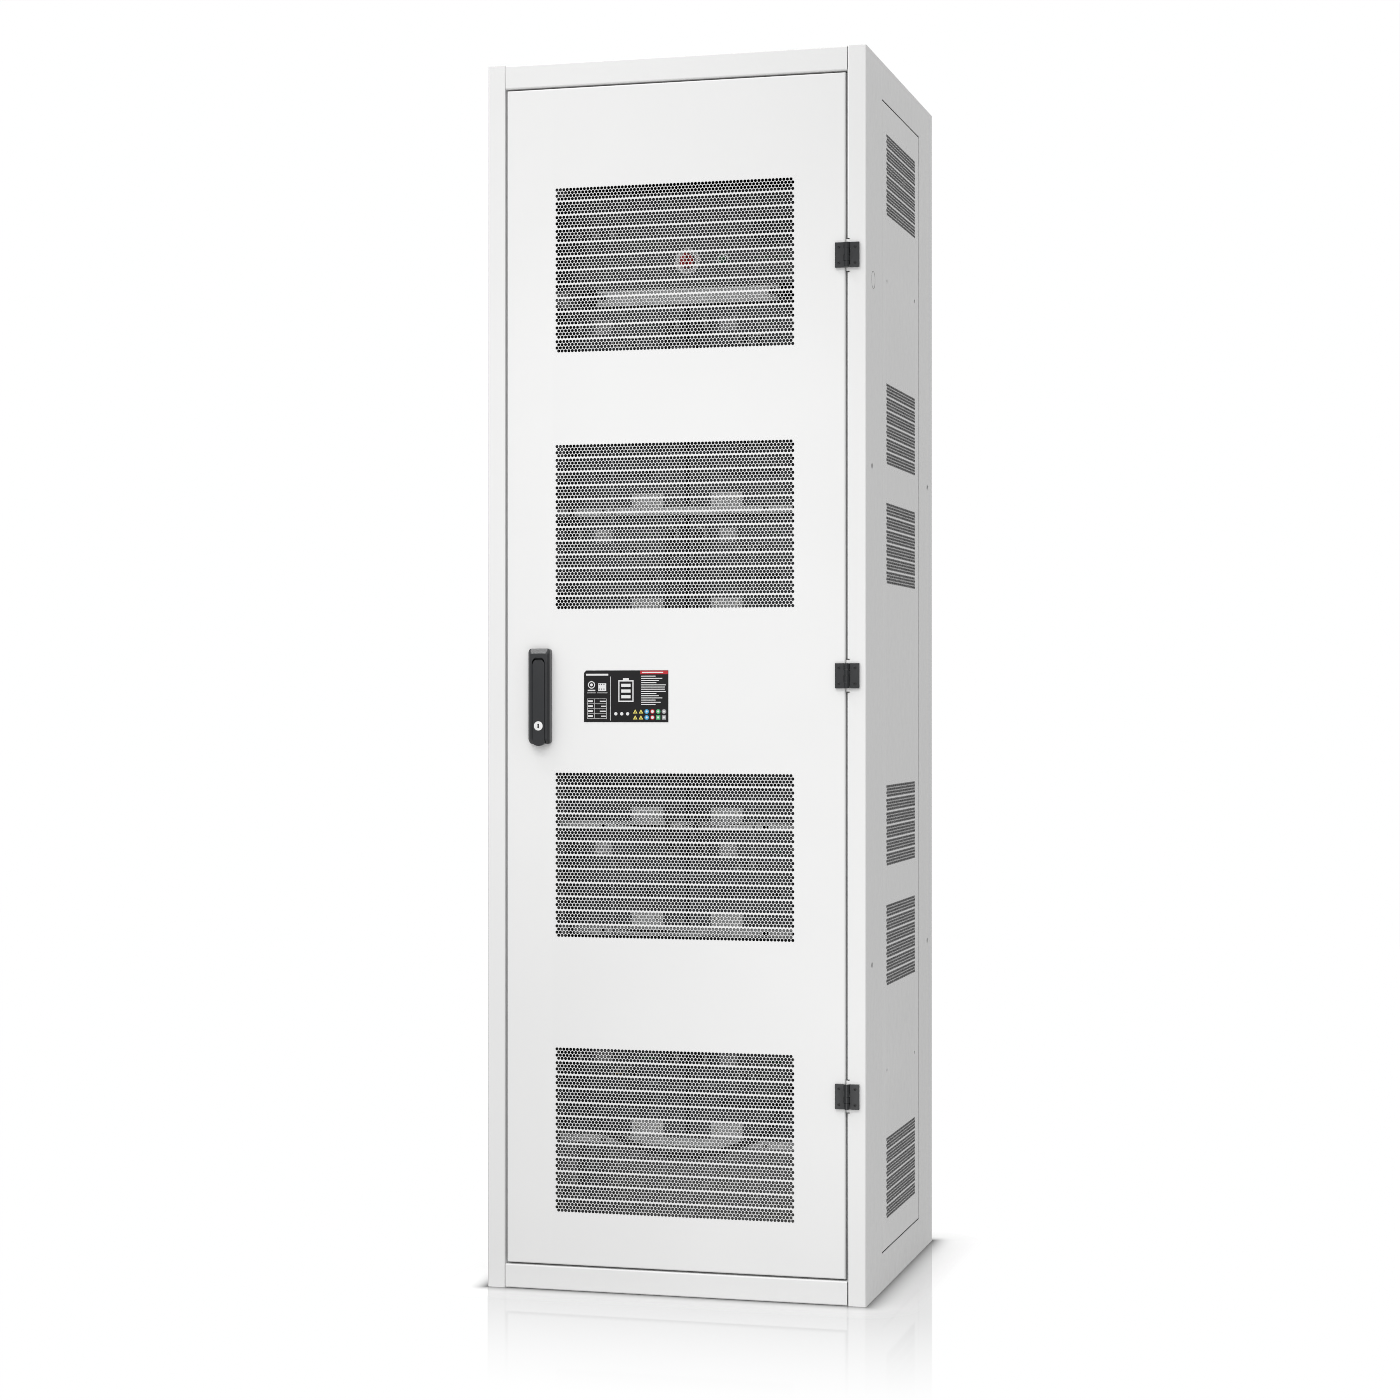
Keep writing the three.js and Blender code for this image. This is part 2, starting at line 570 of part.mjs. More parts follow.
const frameLeaf = hingeLeaf(1);
const doorLeaf = hingeLeaf(-1);
const hingePin = rod("z", KNUCKLE.pin, both(HINGE.height / 2), [0, 0], 12);
["lower", "middle", "upper"].forEach((level, i) => {
  const place = [HINGE.x, HINGE.y, hingeHeights[i]];
  add(cabinet, `hinge_${level}_frame_leaf`, BLACK_PLASTIC, frameLeaf, place);
  add(cabinet, `hinge_${level}_pin`, ZINC_STEEL, hingePin, place);
  add(door, `hinge_${level}_door_leaf`, BLACK_PLASTIC, doorLeaf, place);
});

// ---------------------------------------------------------------- door

function doorPanel() {
  const z = [DOOR_BOTTOM, DOOR_TOP];
  const inset = (edge) => [DOOR_BOTTOM + edge, DOOR_TOP - edge];
  const sheetCut = [FRONT - THROUGH, FRONT + THROUGH];
  const slotSpan = both(bandLength(DOOR_VENT) / 2);
  const slots = bandRanges(DOOR_VENT).map((range) => block(slotSpan, sheetCut, range));
  return cut(
    block(both(DOOR_X), [FRONT, DOOR_BACK], z),
    block(both(DOOR_X - SHEET), [FRONT + SHEET, DOOR_BACK - SHEET], inset(SHEET)),
    block(both(DOOR_X - DOOR_LIP), [DOOR_BACK - THROUGH, DOOR_BACK + THROUGH], inset(DOOR_LIP)),
    rod("y", CAM.hub + 3, sheetCut, [LOCK_X, PIVOT.z]),
    ...slots,
  );
}

function doorGasket() {
  const ring = (edge) => [both(DOOR_X - edge), [DOOR_BOTTOM + edge, DOOR_TOP - edge]];
  const depth = [DOOR_BACK + FIT, STOP_BACK - SHEET - FIT];
  const [outerX, outerZ] = ring(GASKET_INSET);
  const [innerX, innerZ] = ring(GASKET_INSET + GASKET_WIDTH);
  return cut(
    block(outerX, depth, outerZ),
    block(innerX, [depth[0] - THROUGH, depth[1] + THROUGH], innerZ),
  );
}

function ratingPlate() {
  const [[x0, x1], [z0, z1]] = [PLATE.x, PLATE.z];
  const outline = polygon([x0, z0], [x1, z0], [x1, z1], [x0 + PLATE.corner, z1], [x0, z1 - PLATE.corner]);
  return plateXZ(outline, [HANDLE_BACK - PLATE.thickness, HANDLE_BACK]);
}

// A bracket from the door's sheet to a rod, with a slot for the rod.
function rodGuide(x, z) {
  const foot = FRONT + SHEET + FIT;
  const height = [z - THROUGH, z + GUIDE.height + THROUGH];
  const slot = [ROD.planes[0] - TURNING_GAP, ROD.planes[1] + TURNING_GAP];
  return cut(
    block(around(x, 2 * GUIDE.half), [foot, GUIDE.back], [z, z + GUIDE.height]),
    block(around(x, 2 * (GUIDE.half - GUIDE.wall)), [foot + SHEET, slot[0] - GUIDE.wall], height),
    block(around(x, ROD.width + 2 * TURNING_GAP), slot, height),
  );
}

const rodOffset = (ROD_PLATE.near + ROD_PLATE.far) / 2;
add(door, "door_panel", WHITE_STEEL, doorPanel());
add(door, "door_gasket", RUBBER, doorGasket());
add(door, "rating_plate", BLACK_PLASTIC, ratingPlate());
add(door, "rod_guide_upper", ZINC_STEEL, rodGuide(LOCK_X - rodOffset, GUIDE.upper));
add(door, "rod_guide_lower", ZINC_STEEL, rodGuide(LOCK_X + rodOffset, GUIDE.lower));

// ---------------------------------------------------------------- handle and rod lock

// The handle's dish: a rounded block with sloping ends and an open-bottomed channel for the lever.
function handleHousing() {
  const { half, bottom, top, front, corner } = HANDLE;
  const x = [LOCK_X - half, LOCK_X + half];
  const sideView = polygon(
    [HANDLE_BACK, bottom],
    [HANDLE_BACK, top],
    [front + 11, top],
    [front, top - 10],
    [front, bottom + 8],
    [front + 9, bottom],
  );
  const body = common(
    plateYZ(sideView, [x[0] - 1, x[1] + 1]),
    plateXZ(roundedRectangle(x, [bottom, top], corner), [front - 1, HANDLE_BACK + 1], 3),
  );
  const channel = roundedRectangle(
    [LOCK_X - CHANNEL.half, LOCK_X + CHANNEL.half],
    [bottom - 2 * CHANNEL.corner, CHANNEL.top],
    CHANNEL.corner,
  );
  return cut(body, plateXZ(channel, [front - THROUGH, CHANNEL.floor], 4));
}

// The lever: an arch in front view, round about its pivot in side view, with a blind hole for the plug.
function handleLever() {
  const { half, tip, shoulder, front, back } = LEVER;
  const { y, z, radius } = PIVOT;
  const frontView = new THREE.Shape();
  frontView.moveTo(LOCK_X - half, shoulder);
  frontView.quadraticCurveTo(LOCK_X, 2 * tip - shoulder, LOCK_X + half, shoulder);
  frontView.absarc(LOCK_X, z + radius - half, half, 0, Math.PI);
  const sideView = new THREE.Shape();
  sideView.moveTo(front, tip);
  sideView.lineTo(back - 5, tip);
  sideView.lineTo(back, tip + 14);
  sideView.absarc(y, z, radius, Math.acos((back - y) / radius), Math.acos((front - y) / radius));
  return cut(
    common(
      plateXZ(frontView, [front - 1, back + 1], 7),
      plateYZ(sideView, [LOCK_X - half - 1, LOCK_X + half + 1], 5),
    ),
    rod("y", PLUG.radius + 0.1, [front - THROUGH, PLUG.back + 1], [LOCK_X, PLUG.z], 32),
  );
}

function lockPlug() {
  const [width, height, deep] = PLUG.keyway;
  return cut(
    rod("y", PLUG.radius, [PLUG.front, PLUG.back], [LOCK_X, PLUG.z], 32),
    block(around(LOCK_X, width), [PLUG.front - 1, PLUG.front + deep], around(PLUG.z, height)),
  );
}

// The cam, unlocked: its tongue hangs down and its two crank pins lie on one diagonal.
function lockCam() {
  const centre = [LOCK_X, PIVOT.z];
  const [width, length] = CAM.tongue;
  const diagonal = CAM.crank * Math.SQRT1_2;
  const pinSpan = [CAM_PLANES.disc[1] - 1, ROD.planes[1] + 0.5];
  const pins = both(diagonal).map((offset) =>
    rod("y", CAM.pin, pinSpan, [LOCK_X + offset, PIVOT.z + offset]),
  );
  return join(
    rod("y", CAM.hub, [FRONT + 0.5, CAM_PLANES.tongue[1]], centre),
    rod("y", CAM.disc, CAM_PLANES.disc, centre, 24),
    block(around(LOCK_X, width), CAM_PLANES.tongue, [PIVOT.z - length, PIVOT.z + width / 2]),
    ...pins,
  );
}

// A lock rod with its slotted crank plate: direction 1 is the upper rod, -1 the lower.
function lockRod(direction, end) {
  const plateZ = PIVOT.z - direction * CAM.crank * Math.SQRT1_2;
  const plateEdge = plateZ + (direction * ROD_PLATE.height) / 2;
  const alongX = (near, far) => ordered(LOCK_X - direction * near, LOCK_X - direction * far);
  const rodX = LOCK_X - direction * rodOffset;
  return cut(
    join(
      block(alongX(ROD_PLATE.near, ROD_PLATE.far), ROD.planes, around(plateZ, ROD_PLATE.height)),
      block(around(rodX, ROD.width), ROD.planes, ordered(plateEdge - direction, end)),
    ),
    block(
      alongX(ROD_SLOT.near, ROD_SLOT.far),
      [ROD.planes[0] - 1, ROD.planes[1] + 1],
      around(plateZ, ROD_SLOT.height),
    ),
  );
}

add(door, "handle_housing", BLACK_PLASTIC, handleHousing());
add(swingLever, "handle_lever", BLACK_PLASTIC, handleLever());
add(swingLever, "lock_plug", CHROME, lockPlug());
add(rodLock, "lock_cam", ZINC_STEEL, lockCam());
add(rodLock, "lock_rod_upper", ZINC_STEEL, lockRod(1, ROD.top));
add(rodLock, "lock_rod_lower", ZINC_STEEL, lockRod(-1, ROD.bottom));

export default cabinet;
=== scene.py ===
"""Looks of a free-standing ventilated battery cabinet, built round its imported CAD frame."""

import math

import bmesh
import bpy
import numpy as np
from mathutils import Matrix, Vector


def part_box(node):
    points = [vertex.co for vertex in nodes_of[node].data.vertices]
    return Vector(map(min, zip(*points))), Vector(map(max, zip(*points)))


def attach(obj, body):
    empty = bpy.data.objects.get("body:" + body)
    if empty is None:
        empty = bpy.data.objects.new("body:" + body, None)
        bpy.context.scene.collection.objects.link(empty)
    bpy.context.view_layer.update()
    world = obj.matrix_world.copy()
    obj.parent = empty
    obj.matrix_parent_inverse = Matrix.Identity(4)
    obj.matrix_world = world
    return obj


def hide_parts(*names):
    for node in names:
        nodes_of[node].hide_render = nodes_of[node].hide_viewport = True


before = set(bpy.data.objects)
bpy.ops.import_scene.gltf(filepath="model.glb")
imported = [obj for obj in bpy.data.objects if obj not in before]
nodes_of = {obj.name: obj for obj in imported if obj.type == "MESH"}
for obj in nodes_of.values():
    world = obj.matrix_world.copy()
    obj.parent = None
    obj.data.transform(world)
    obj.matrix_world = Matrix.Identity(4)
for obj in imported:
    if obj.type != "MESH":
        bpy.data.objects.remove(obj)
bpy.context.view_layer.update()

MM = 0.001  # lengths below are millimetres in the frame's axes, as in the CAD


def span(node):
    """A CAD node's box as ((x0, x1), (y0, y1), (z0, z1)) in millimetres."""
    low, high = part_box(node)
    return tuple((round(a / MM, 3), round(b / MM, 3)) for a, b in zip(low, high))


# ---------------------------------------------------------------- mesh tools


def lerp(a, b, t):
    return a + (b - a) * t


def middle(ends):
    return (ends[0] + ends[1]) / 2


def around(centre, half):
    """A range about its middle."""
    return centre - half, centre + half


def inset(ends, distance):
    """Both ends of a range, moved in by a distance, or out by a negative one."""
    return ends[0] + distance, ends[1] - distance


def polar(centre, radius, angle):
    """A point at an angle in degrees round a centre."""
    turn = math.radians(angle)
    return centre[0] + radius * math.cos(turn), centre[1] + radius * math.sin(turn)


def arc(centre, radius, start, end, steps):
    """Points on an arc in a plane, angles in degrees."""
    return [polar(centre, radius, lerp(start, end, i / steps)) for i in range(steps + 1)]


def round_rect(x, z, radius, steps=4):
    """Outline of a rectangle with round corners, counterclockwise."""
    corners = ((x[1], z[0], -90), (x[1], z[1], 0), (x[0], z[1], 90), (x[0], z[0], 180))
    points = []
    for cx, cz, start in corners:
        centre = (cx - radius if cx == x[1] else cx + radius, cz - radius if cz == z[1] else cz + radius)
        points += arc(centre, radius, start, start + 90, steps)
    return points


def two_sided(faces, loops, count):
    """A sheet's faces, their copies on its other side, count points later, and the walls of its edges."""
    walls = []
    for loop in loops:
        for a, b in zip(loop, [*loop[1:], loop[0]]):
            walls.append((a, b, b + count, a + count))
    return faces + [tuple(i + count for i in reversed(face)) for face in faces] + walls


PLANES = {"y": lambda a, b, h: (a, h, b), "x": lambda a, b, h: (h, a, b), "z": lambda a, b, h: (a, b, h)}
facing = PLANES["y"]  # a point of the front view, at a depth


class Shape:
    """Vertices and faces of one piece, in millimetres, with a material index on each face."""

    def __init__(self):
        self.verts, self.faces, self.slots = [], [], []

    def add(self, verts, faces, slot=0):
        base = len(self.verts)
        self.verts += [tuple(v) for v in verts]
        self.faces += [tuple(i + base for i in f) for f in faces]
        self.slots += [slot] * len(faces)
        return self

    def block(self, x, y, z, slot=0):
        """A box as six quads."""
        verts = [(x[i], y[j], z[k]) for k in (0, 1) for j in (0, 1) for i in (0, 1)]
        faces = [(0, 2, 3, 1), (4, 5, 7, 6), (0, 1, 5, 4), (2, 6, 7, 3), (0, 4, 6, 2), (1, 3, 7, 5)]
        return self.add(verts, faces, slot)

    def prism(self, outline, axis, low, high, slot=0):
        """An outline in the plane across an axis, run from low to high along it."""
        place = PLANES[axis]
        n = len(outline)
        verts = [place(a, b, h) for h in (low, high) for a, b in outline]
        sides = [(i, (i + 1) % n, (i + 1) % n + n, i + n) for i in range(n)]
        return self.add(verts, [tuple(range(n)), tuple(range(n, 2 * n))] + sides, slot)

    def loft(self, rings, slot=0, caps=(True, True), closed=True):
        """Skin over rings of equally many points."""
        n = len(rings[0])
        verts = [p for ring in rings for p in ring]
        faces = []
        for r in range(len(rings) - 1):
            for i in range(n if closed else n - 1):
                j = (i + 1) % n
                faces.append((r * n + i, r * n + j, (r + 1) * n + j, (r + 1) * n + i))
        if caps[0]:
            faces.append(tuple(range(n)))
        if caps[1]:
            faces.append(tuple(range((len(rings) - 1) * n, len(rings) * n)))
        return self.add(verts, faces, slot)

    def turned(self, profile, axis, centre, segments=24, slot=0):
        """A profile of (radius, height) pairs turned about an axis through centre."""
        place = PLANES[axis]
        rings = []
        for radius, height in profile:
            ring = arc(centre, max(radius, 0.01), 0, 360, segments)[:-1]
            rings.append([place(a, b, height) for a, b in ring])
        return self.loft(rings, slot)

    def fitted(self, profile, centre, face, segments=24, slot=0):
        """A turned part on a front face; its profile's heights are measured from the face."""
        return self.turned([(r, face + h) for r, h in profile], "y", centre, segments, slot)

    def hoop(self, section, centre, face, segments, slot=0):
        """A ring with an open middle on a front face, from its section."""
        turns = [(arc(centre, r, 0, 360, segments)[:-1], face + h) for r, h in section]
        rings = [[facing(a, b, y) for a, b in ring] for ring, y in turns]
        return self.loft(rings + rings[:1], slot, caps=(False, False))

    def tube(self, path, radius, segments=12, slot=0):
        """A round cable along a path of points."""
        points = [Vector(p) for p in path]
        rings = []
        for i, point in enumerate(points):
            ahead = (points[min(i + 1, len(points) - 1)] - points[max(i - 1, 0)]).normalized()
            if rings:
                side = (side - ahead * side.dot(ahead)).normalized()
            else:
                side = ahead.orthogonal().normalized()
            other = ahead.cross(side)
            ring = arc((0, 0), radius, 0, 360, segments)[:-1]
            rings.append([tuple(point + side * a + other * b) for a, b in ring])
        return self.loft(rings, slot)

    def moved(self, matrix, other, slot=None):
        """Adds a copy of another shape, moved by a matrix, in its own looks or in one."""
        base = len(self.verts)
        self.verts += [tuple(matrix @ Vector(v)) for v in other.verts]
        self.faces += [tuple(i + base for i in f) for f in other.faces]
        self.slots += other.slots if slot is None else [slot] * len(other.faces)
        return self

    def plate(self, place, a, b, depths, windows=(), holes=(), slot=0):
        """A flat plate over the ranges a and b, between two depths, cut by windows and round holes."""
        la, lb, points, faces, loops = plate_grid(set(a), set(b), windows, holes)
        wide, count = len(la), len(points)
        last = wide * (len(lb) - 1)
        edge = list(range(wide)) + [wide - 1 + wide * j for j in range(1, len(lb))]
        edge += [last + i for i in range(wide - 2, -1, -1)]
        edge += [wide * j for j in range(len(lb) - 2, 0, -1)]
        verts = [place(p, q, d) for d in depths for p, q in points]
        return self.add(verts, two_sided(faces, [*loops, edge], count), slot)

    def mesh(self, name):
        data = bpy.data.meshes.new(name)
        data.from_pydata((np.array(self.verts, float) * MM).tolist(), [], self.faces)
        data.polygons.foreach_set("material_index", self.slots)
        work = bmesh.new()
        work.from_mesh(data)
        bmesh.ops.remove_doubles(work, verts=work.verts, dist=1e-7)
        bmesh.ops.recalc_face_normals(work, faces=work.faces)
        work.to_mesh(data)
        work.free()
        return data


SHARP_ANGLE = math.radians(32)


def smooth(data):
    """Shades a mesh smooth, apart from its real edges."""
    data.polygons.foreach_set("use_smooth", [True] * len(data.polygons))
    data.set_sharp_from_angle(angle=SHARP_ANGLE)
    data.update()


def face_weighted(obj):
    """Keeps large flat faces flat beside their rounded edges."""
    normals = obj.modifiers.new("Normals", "WEIGHTED_NORMAL")
    normals.keep_sharp = True
    normals.weight = 100


def bevelled(obj, width, segments=2, angle=35, clamp=False):
    """Rounds an object's sharp edges by a modifier, which a clamp keeps narrow beside short edges."""
    edge = obj.modifiers.new("Bevel", "BEVEL")
    edge.width = width * MM
    edge.segments = segments
    edge.limit_method = "ANGLE"
    edge.angle_limit = math.radians(angle)
    edge.use_clamp_overlap = clamp
    edge.harden_normals = True


def piece(name, shape, body, materials, bevel=0.3, segments=2, replaces=(), flat=False):
    """Makes an object of a shape or a mesh, and rides it on a CAD body."""
    data = shape.mesh(name) if isinstance(shape, Shape) else shape
    obj = bpy.data.objects.new(name, data)
    bpy.context.scene.collection.objects.link(obj)
    if not data.materials:
        for material in materials:
            data.materials.append(material)
    if not flat:
        smooth(data)
        if bevel:
            bevelled(obj, bevel, segments)
        face_weighted(obj)
    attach(obj, body)
    if replaces:
        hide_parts(*replaces)
    return obj


def carved(name, shape, *steps):
    """The mesh of a shape after boolean steps, each an operation and the shape it uses."""
    objects = []
    for part in (shape, *[tool for _, tool in steps]):
        obj = bpy.data.objects.new(name, part.mesh(name))
        bpy.context.scene.collection.objects.link(obj)
        objects.append(obj)
    for (operation, _), tool in zip(steps, objects[1:]):
        step = objects[0].modifiers.new(operation, "BOOLEAN")
        step.operation = operation
        step.object = tool
        step.solver = "EXACT"
    finished = objects[0].evaluated_get(bpy.context.evaluated_depsgraph_get())
    result = bpy.data.meshes.new_from_object(finished)
    for obj in objects:
        data = obj.data
        bpy.data.objects.remove(obj)
        bpy.data.meshes.remove(data)
    return result


# ---------------------------------------------------------------- materials


class Graph:
    """A small builder of shader and compositor nodes."""

    def __init__(self, tree):
        self.tree = tree

    def new(self, kind, **inputs):
        node = self.tree.nodes.new(kind)
        for key, value in inputs.items():
            self.feed(node, key.replace("_", " "), value)
        return node

    def feed(self, node, key, value):
        """Links or sets an input, found by its name or its number."""
        socket = node.inputs[key]
        if isinstance(value, bpy.types.NodeSocket):
            self.tree.links.new(value, socket)
        else:
            socket.default_value = value

    def joined(self, kind, *values):
        """The first output of a new node, with its inputs in order."""
        node = self.new(kind)
        for key, value in enumerate(values):
            self.feed(node, key, value)
        return node.outputs[0]

    def math(self, operation, a, b=0.0, kind="ShaderNodeMath"):
        node = self.new(kind)
        node.operation = operation
        self.feed(node, 0, a)
        self.feed(node, 1, b)
        return node.outputs[0]

    def vector(self, operation, a, b):
        return self.math(operation, a, b, "ShaderNodeVectorMath")


class Look(Graph):
    """A procedural material round one Principled shader."""

    def __init__(self, name):
        self.material = bpy.data.materials.new(name)
        self.material.use_nodes = True
        super().__init__(self.material.node_tree)
        self.shader = self.tree.nodes["Principled BSDF"]
        self.coords = self.new("ShaderNodeTexCoord").outputs["Object"]

    def set(self, **inputs):
        for key, value in inputs.items():
            self.feed(self.shader, key.replace("_", " "), value)
        return self

    def noise(self, scale, detail=2.0, rough=0.5, stretch=None):
        """Fractal noise from 0 to 1; scale is cycles per metre."""
        coords = self.coords
        if stretch:
            coords = self.new("ShaderNodeMapping", Vector=coords, Scale=stretch).outputs["Vector"]
        node = self.new("ShaderNodeTexNoise", Vector=coords, Scale=scale, Detail=detail, Roughness=rough)
        return node.outputs["Fac"]

    def cells(self, scale, output="Distance"):
        return self.new("ShaderNodeTexVoronoi", Vector=self.coords, Scale=scale).outputs[output]

    def spread(self, value, low, high, start=0.0, end=1.0):
        """Maps a value from start..end to low..high."""
        node = self.new("ShaderNodeMapRange")
        for key, number in enumerate((value, start, end, low, high)):
            self.feed(node, key, number)
        return node.outputs[0]

    def mix(self, factor, a, b):
        node = self.tree.nodes.new("ShaderNodeMix")
        node.data_type = "RGBA"
        self.feed(node, 0, factor)
        for key, colour in ((6, a), (7, b)):
            self.feed(node, key, colour if isinstance(colour, bpy.types.NodeSocket) else (*colour, 1))
        return node.outputs[2]

    def bump(self, height, strength, distance):
        node = self.new("ShaderNodeBump", Height=height, Strength=strength, Distance=distance)
        return node.outputs["Normal"]

    def edges(self):
        """Rises to 1 on convex edges."""
        point = self.tree.nodes.new("ShaderNodeNewGeometry").outputs["Pointiness"]
        return self.spread(point, 0.0, 1.0, 0.51, 0.56)

    def drift(self, scale, dark, light):
        """Soft clouds between two colours."""
        return self.mix(self.spread(self.noise(scale, 3.0), 0.0, 1.0, 0.3, 0.7), dark, light)

    def gloss(self, scale, detail, low, high):
        """An uneven roughness."""
        return self.spread(self.noise(scale, detail), low, high, 0.3, 0.7)


VENT_PASS = "vent"  # the perforated pieces write this pass, since no denoiser may smear their holes


def marked(material):
    """Makes a material write the vent pass."""
    node = material.node_tree.nodes.new("ShaderNodeOutputAOV")
    node.aov_name = VENT_PASS
    node.inputs["Value"].default_value = 1.0
    return material


def scaled(colour, factor):
    return tuple(c * factor for c in colour)


def powder_coat(name, colour, rough=0.42, peel=0.35):
    """Powder-coated sheet: orange peel, faint mottling and slightly thinner paint on the folds."""
    look = Look(name)
    speck = look.spread(look.noise(1400.0, 1.0), 0.0, 0.35, 0.45, 0.8)
    base = look.drift(2.3, scaled(colour, 0.972), scaled(colour, 1.012))
    base = look.mix(speck, base, scaled(colour, 0.93))
    base = look.mix(look.math("MULTIPLY", look.edges(), 0.25), base, scaled(colour, 0.9))
    normal = look.bump(look.noise(520.0, 2.5, 0.55), peel, 0.00012)
    gloss = look.gloss(60.0, 2.0, rough - 0.05, rough + 0.06)
    look.set(Base_Color=base, Roughness=gloss, Normal=normal, IOR=1.5)
    return look.material


def moulded(name, colour, rough=0.5, grain=1600.0, depth=0.25):
    """Moulded plastic with an eroded grain, a little polished on the edges that hands touch, with a painted
    highlight that lightens its convex edges.
    """
    look = Look(name)
    fine = look.noise(grain, 3.0, 0.6)
    base = look.drift(14.0, scaled(colour, 0.86), scaled(colour, 1.14))
    # Convex edges are painted lighter: a painted highlight.
    base = look.mix(look.math("MULTIPLY", look.edges(), 0.35), base, scaled(colour, 1.7))
    worn = look.spread(look.edges(), rough, rough - 0.14)
    gloss = look.math("ADD", worn, look.spread(fine, -0.05, 0.05, 0.3, 0.7))
    look.set(Base_Color=base, Roughness=gloss, Normal=look.bump(fine, depth, 0.00008), IOR=1.46)
    return look.material


def coated_metal(name, colour, rough=0.35, spangle=0.0, brushed=0.0, metallic=1.0):
    """Zinc or chrome on steel: spangle cells, brush lines and a drift of colour."""
    look = Look(name)
    base = look.drift(22.0, scaled(colour, 0.9), scaled(colour, 1.06))
    gloss = look.gloss(240.0, 3.0, rough - 0.06, rough + 0.08)
    height = look.noise(900.0, 2.0)
    if spangle:
        tone = look.new("ShaderNodeSeparateColor", Color=look.cells(spangle, "Color")).outputs[0]
        base = look.mix(look.spread(tone, 0.0, 0.5), base, scaled(colour, 0.72))
        gloss = look.math("ADD", gloss, look.spread(tone, -0.05, 0.12))
    if brushed:
        height = look.noise(brushed, 2.0, 0.6, stretch=(1.0, 1.0, 0.03))
        gloss = look.math("ADD", gloss, look.spread(height, -0.06, 0.06, 0.3, 0.7))
    look.set(Base_Color=base, Metallic=metallic, Roughness=gloss, Normal=look.bump(height, 0.15, 0.00004))
    return look.material


def foam(name, colour):
    """Closed-cell sealing foam: pores, painted darker in their dips as painted shade, and a soft matt skin.
    """
    look = Look(name)
    pores = look.cells(1300.0)
    fine = look.noise(2600.0, 2.0)
    # The pores are painted darker in their dips: painted shade.
    base = look.mix(look.spread(pores, 0.0, 1.0, 0.0, 0.5), scaled(colour, 0.45), scaled(colour, 1.35))
    height = look.math("ADD", pores, look.math("MULTIPLY", fine, 0.4))
    look.set(Base_Color=base, Roughness=0.92, Normal=look.bump(height, 0.7, 0.0003), Specular_IOR_Level=0.2)
    return look.material


def printed(name, colour, rough=0.5):
    """Ink on laminated film: a fine screen and a soft uneven gloss."""
    look = Look(name)
    screen = look.noise(3200.0, 1.0)
    base = look.mix(look.spread(screen, 0.0, 0.25, 0.4, 0.7), colour, scaled(colour, 0.8))
    gloss = look.gloss(90.0, 3.0, rough - 0.06, rough + 0.1)
    normal = look.bump(look.noise(700.0, 2.0), 0.08, 0.00005)
    look.set(Base_Color=base, Roughness=gloss, Normal=normal, Specular_IOR_Level=0.3)
    return look.material


CABINET_WHITE = (0.80, 0.80, 0.797)
# The dark grey below is painted shade: it colours the vent holes' walls and the knock-out slits, where only
# shade falls.
HOLE_SHADE_GREY = (0.10, 0.10, 0.105)
WHITE = powder_coat("white powder coat", CABINET_WHITE, peel=0.2)
VENT_WHITE = marked(powder_coat("white powder coat on vents", CABINET_WHITE, peel=0.2))
# The vent holes' walls take this look: painted shade.
VENT_HOLE_SHADE = marked(coated_metal("painted shade in vent holes", HOLE_SHADE_GREY, 0.5))
# The knock-out slits take this look: painted shade.
KNOCKOUT_SLIT_SHADE = coated_metal("painted shade in knock-out slits", HOLE_SHADE_GREY, 0.5)
INNER = powder_coat("inner grey coat", (0.62, 0.63, 0.63), 0.45)
GALVANISED = coated_metal("galvanised steel", (0.62, 0.64, 0.66), 0.38, spangle=170.0)
ZINC = coated_metal("zinc plate", (0.63, 0.63, 0.60), 0.3, brushed=900.0)
BRIGHT_NICKEL = coated_metal("bright nickel", (0.93, 0.93, 0.93), 0.3, brushed=1500.0, metallic=0.45)
CHROME = coated_metal("satin chrome", (0.86, 0.86, 0.87), 0.2, brushed=1500.0)
BLACK = moulded("black moulded plastic", (0.015, 0.016, 0.0175), 0.38)
HANDLE_BLACK = moulded("black handle plastic", (0.022, 0.023, 0.025), 0.3)
DARK = powder_coat("dark grey coat", (0.035, 0.038, 0.042), 0.42, 0.5)
MODULE = moulded("dark grey module plastic", (0.045, 0.050, 0.056), 0.5, 1100.0)
LID = moulded("black module lid plastic", (0.022, 0.024, 0.027), 0.48, 1100.0)
RUBBER = moulded("black rubber", (0.016, 0.016, 0.017), 0.62, 2200.0, 0.4)
FOAM = foam("sealing foam", (0.035, 0.035, 0.036))
BLACK_ZINC = coated_metal("black zinc", (0.055, 0.055, 0.058), 0.34)
SOCKET_BLACK = moulded("black socket screw", (0.012, 0.012, 0.013), 0.5)
RED = moulded("red moulded plastic", (0.42, 0.014, 0.013), 0.34)
GREEN = moulded("green moulded plastic", (0.015, 0.09, 0.035), 0.34)
CONTACT = coated_metal("gold contacts", (0.80, 0.58, 0.26), 0.28, brushed=700.0)
LEAD_GREY = moulded("grey cable jacket", (0.16, 0.17, 0.18), 0.45)
GLASS = printed("dark display glass", (0.006, 0.009, 0.012), 0.12)
INK_BLACK = printed("label film black", (0.003, 0.003, 0.0035), 0.42)
INK_WHITE = printed("label ink white", (0.72, 0.72, 0.72))
INK_GREY = printed("label ink grey", (0.34, 0.34, 0.35))
INK_RED = printed("label ink red", (0.46, 0.022, 0.03))
INK_YELLOW = printed("label ink yellow", (0.78, 0.68, 0.16))
INK_BLUE = printed("label ink blue", (0.06, 0.34, 0.62))
INK_GREEN = printed("label ink green", (0.08, 0.42, 0.17))

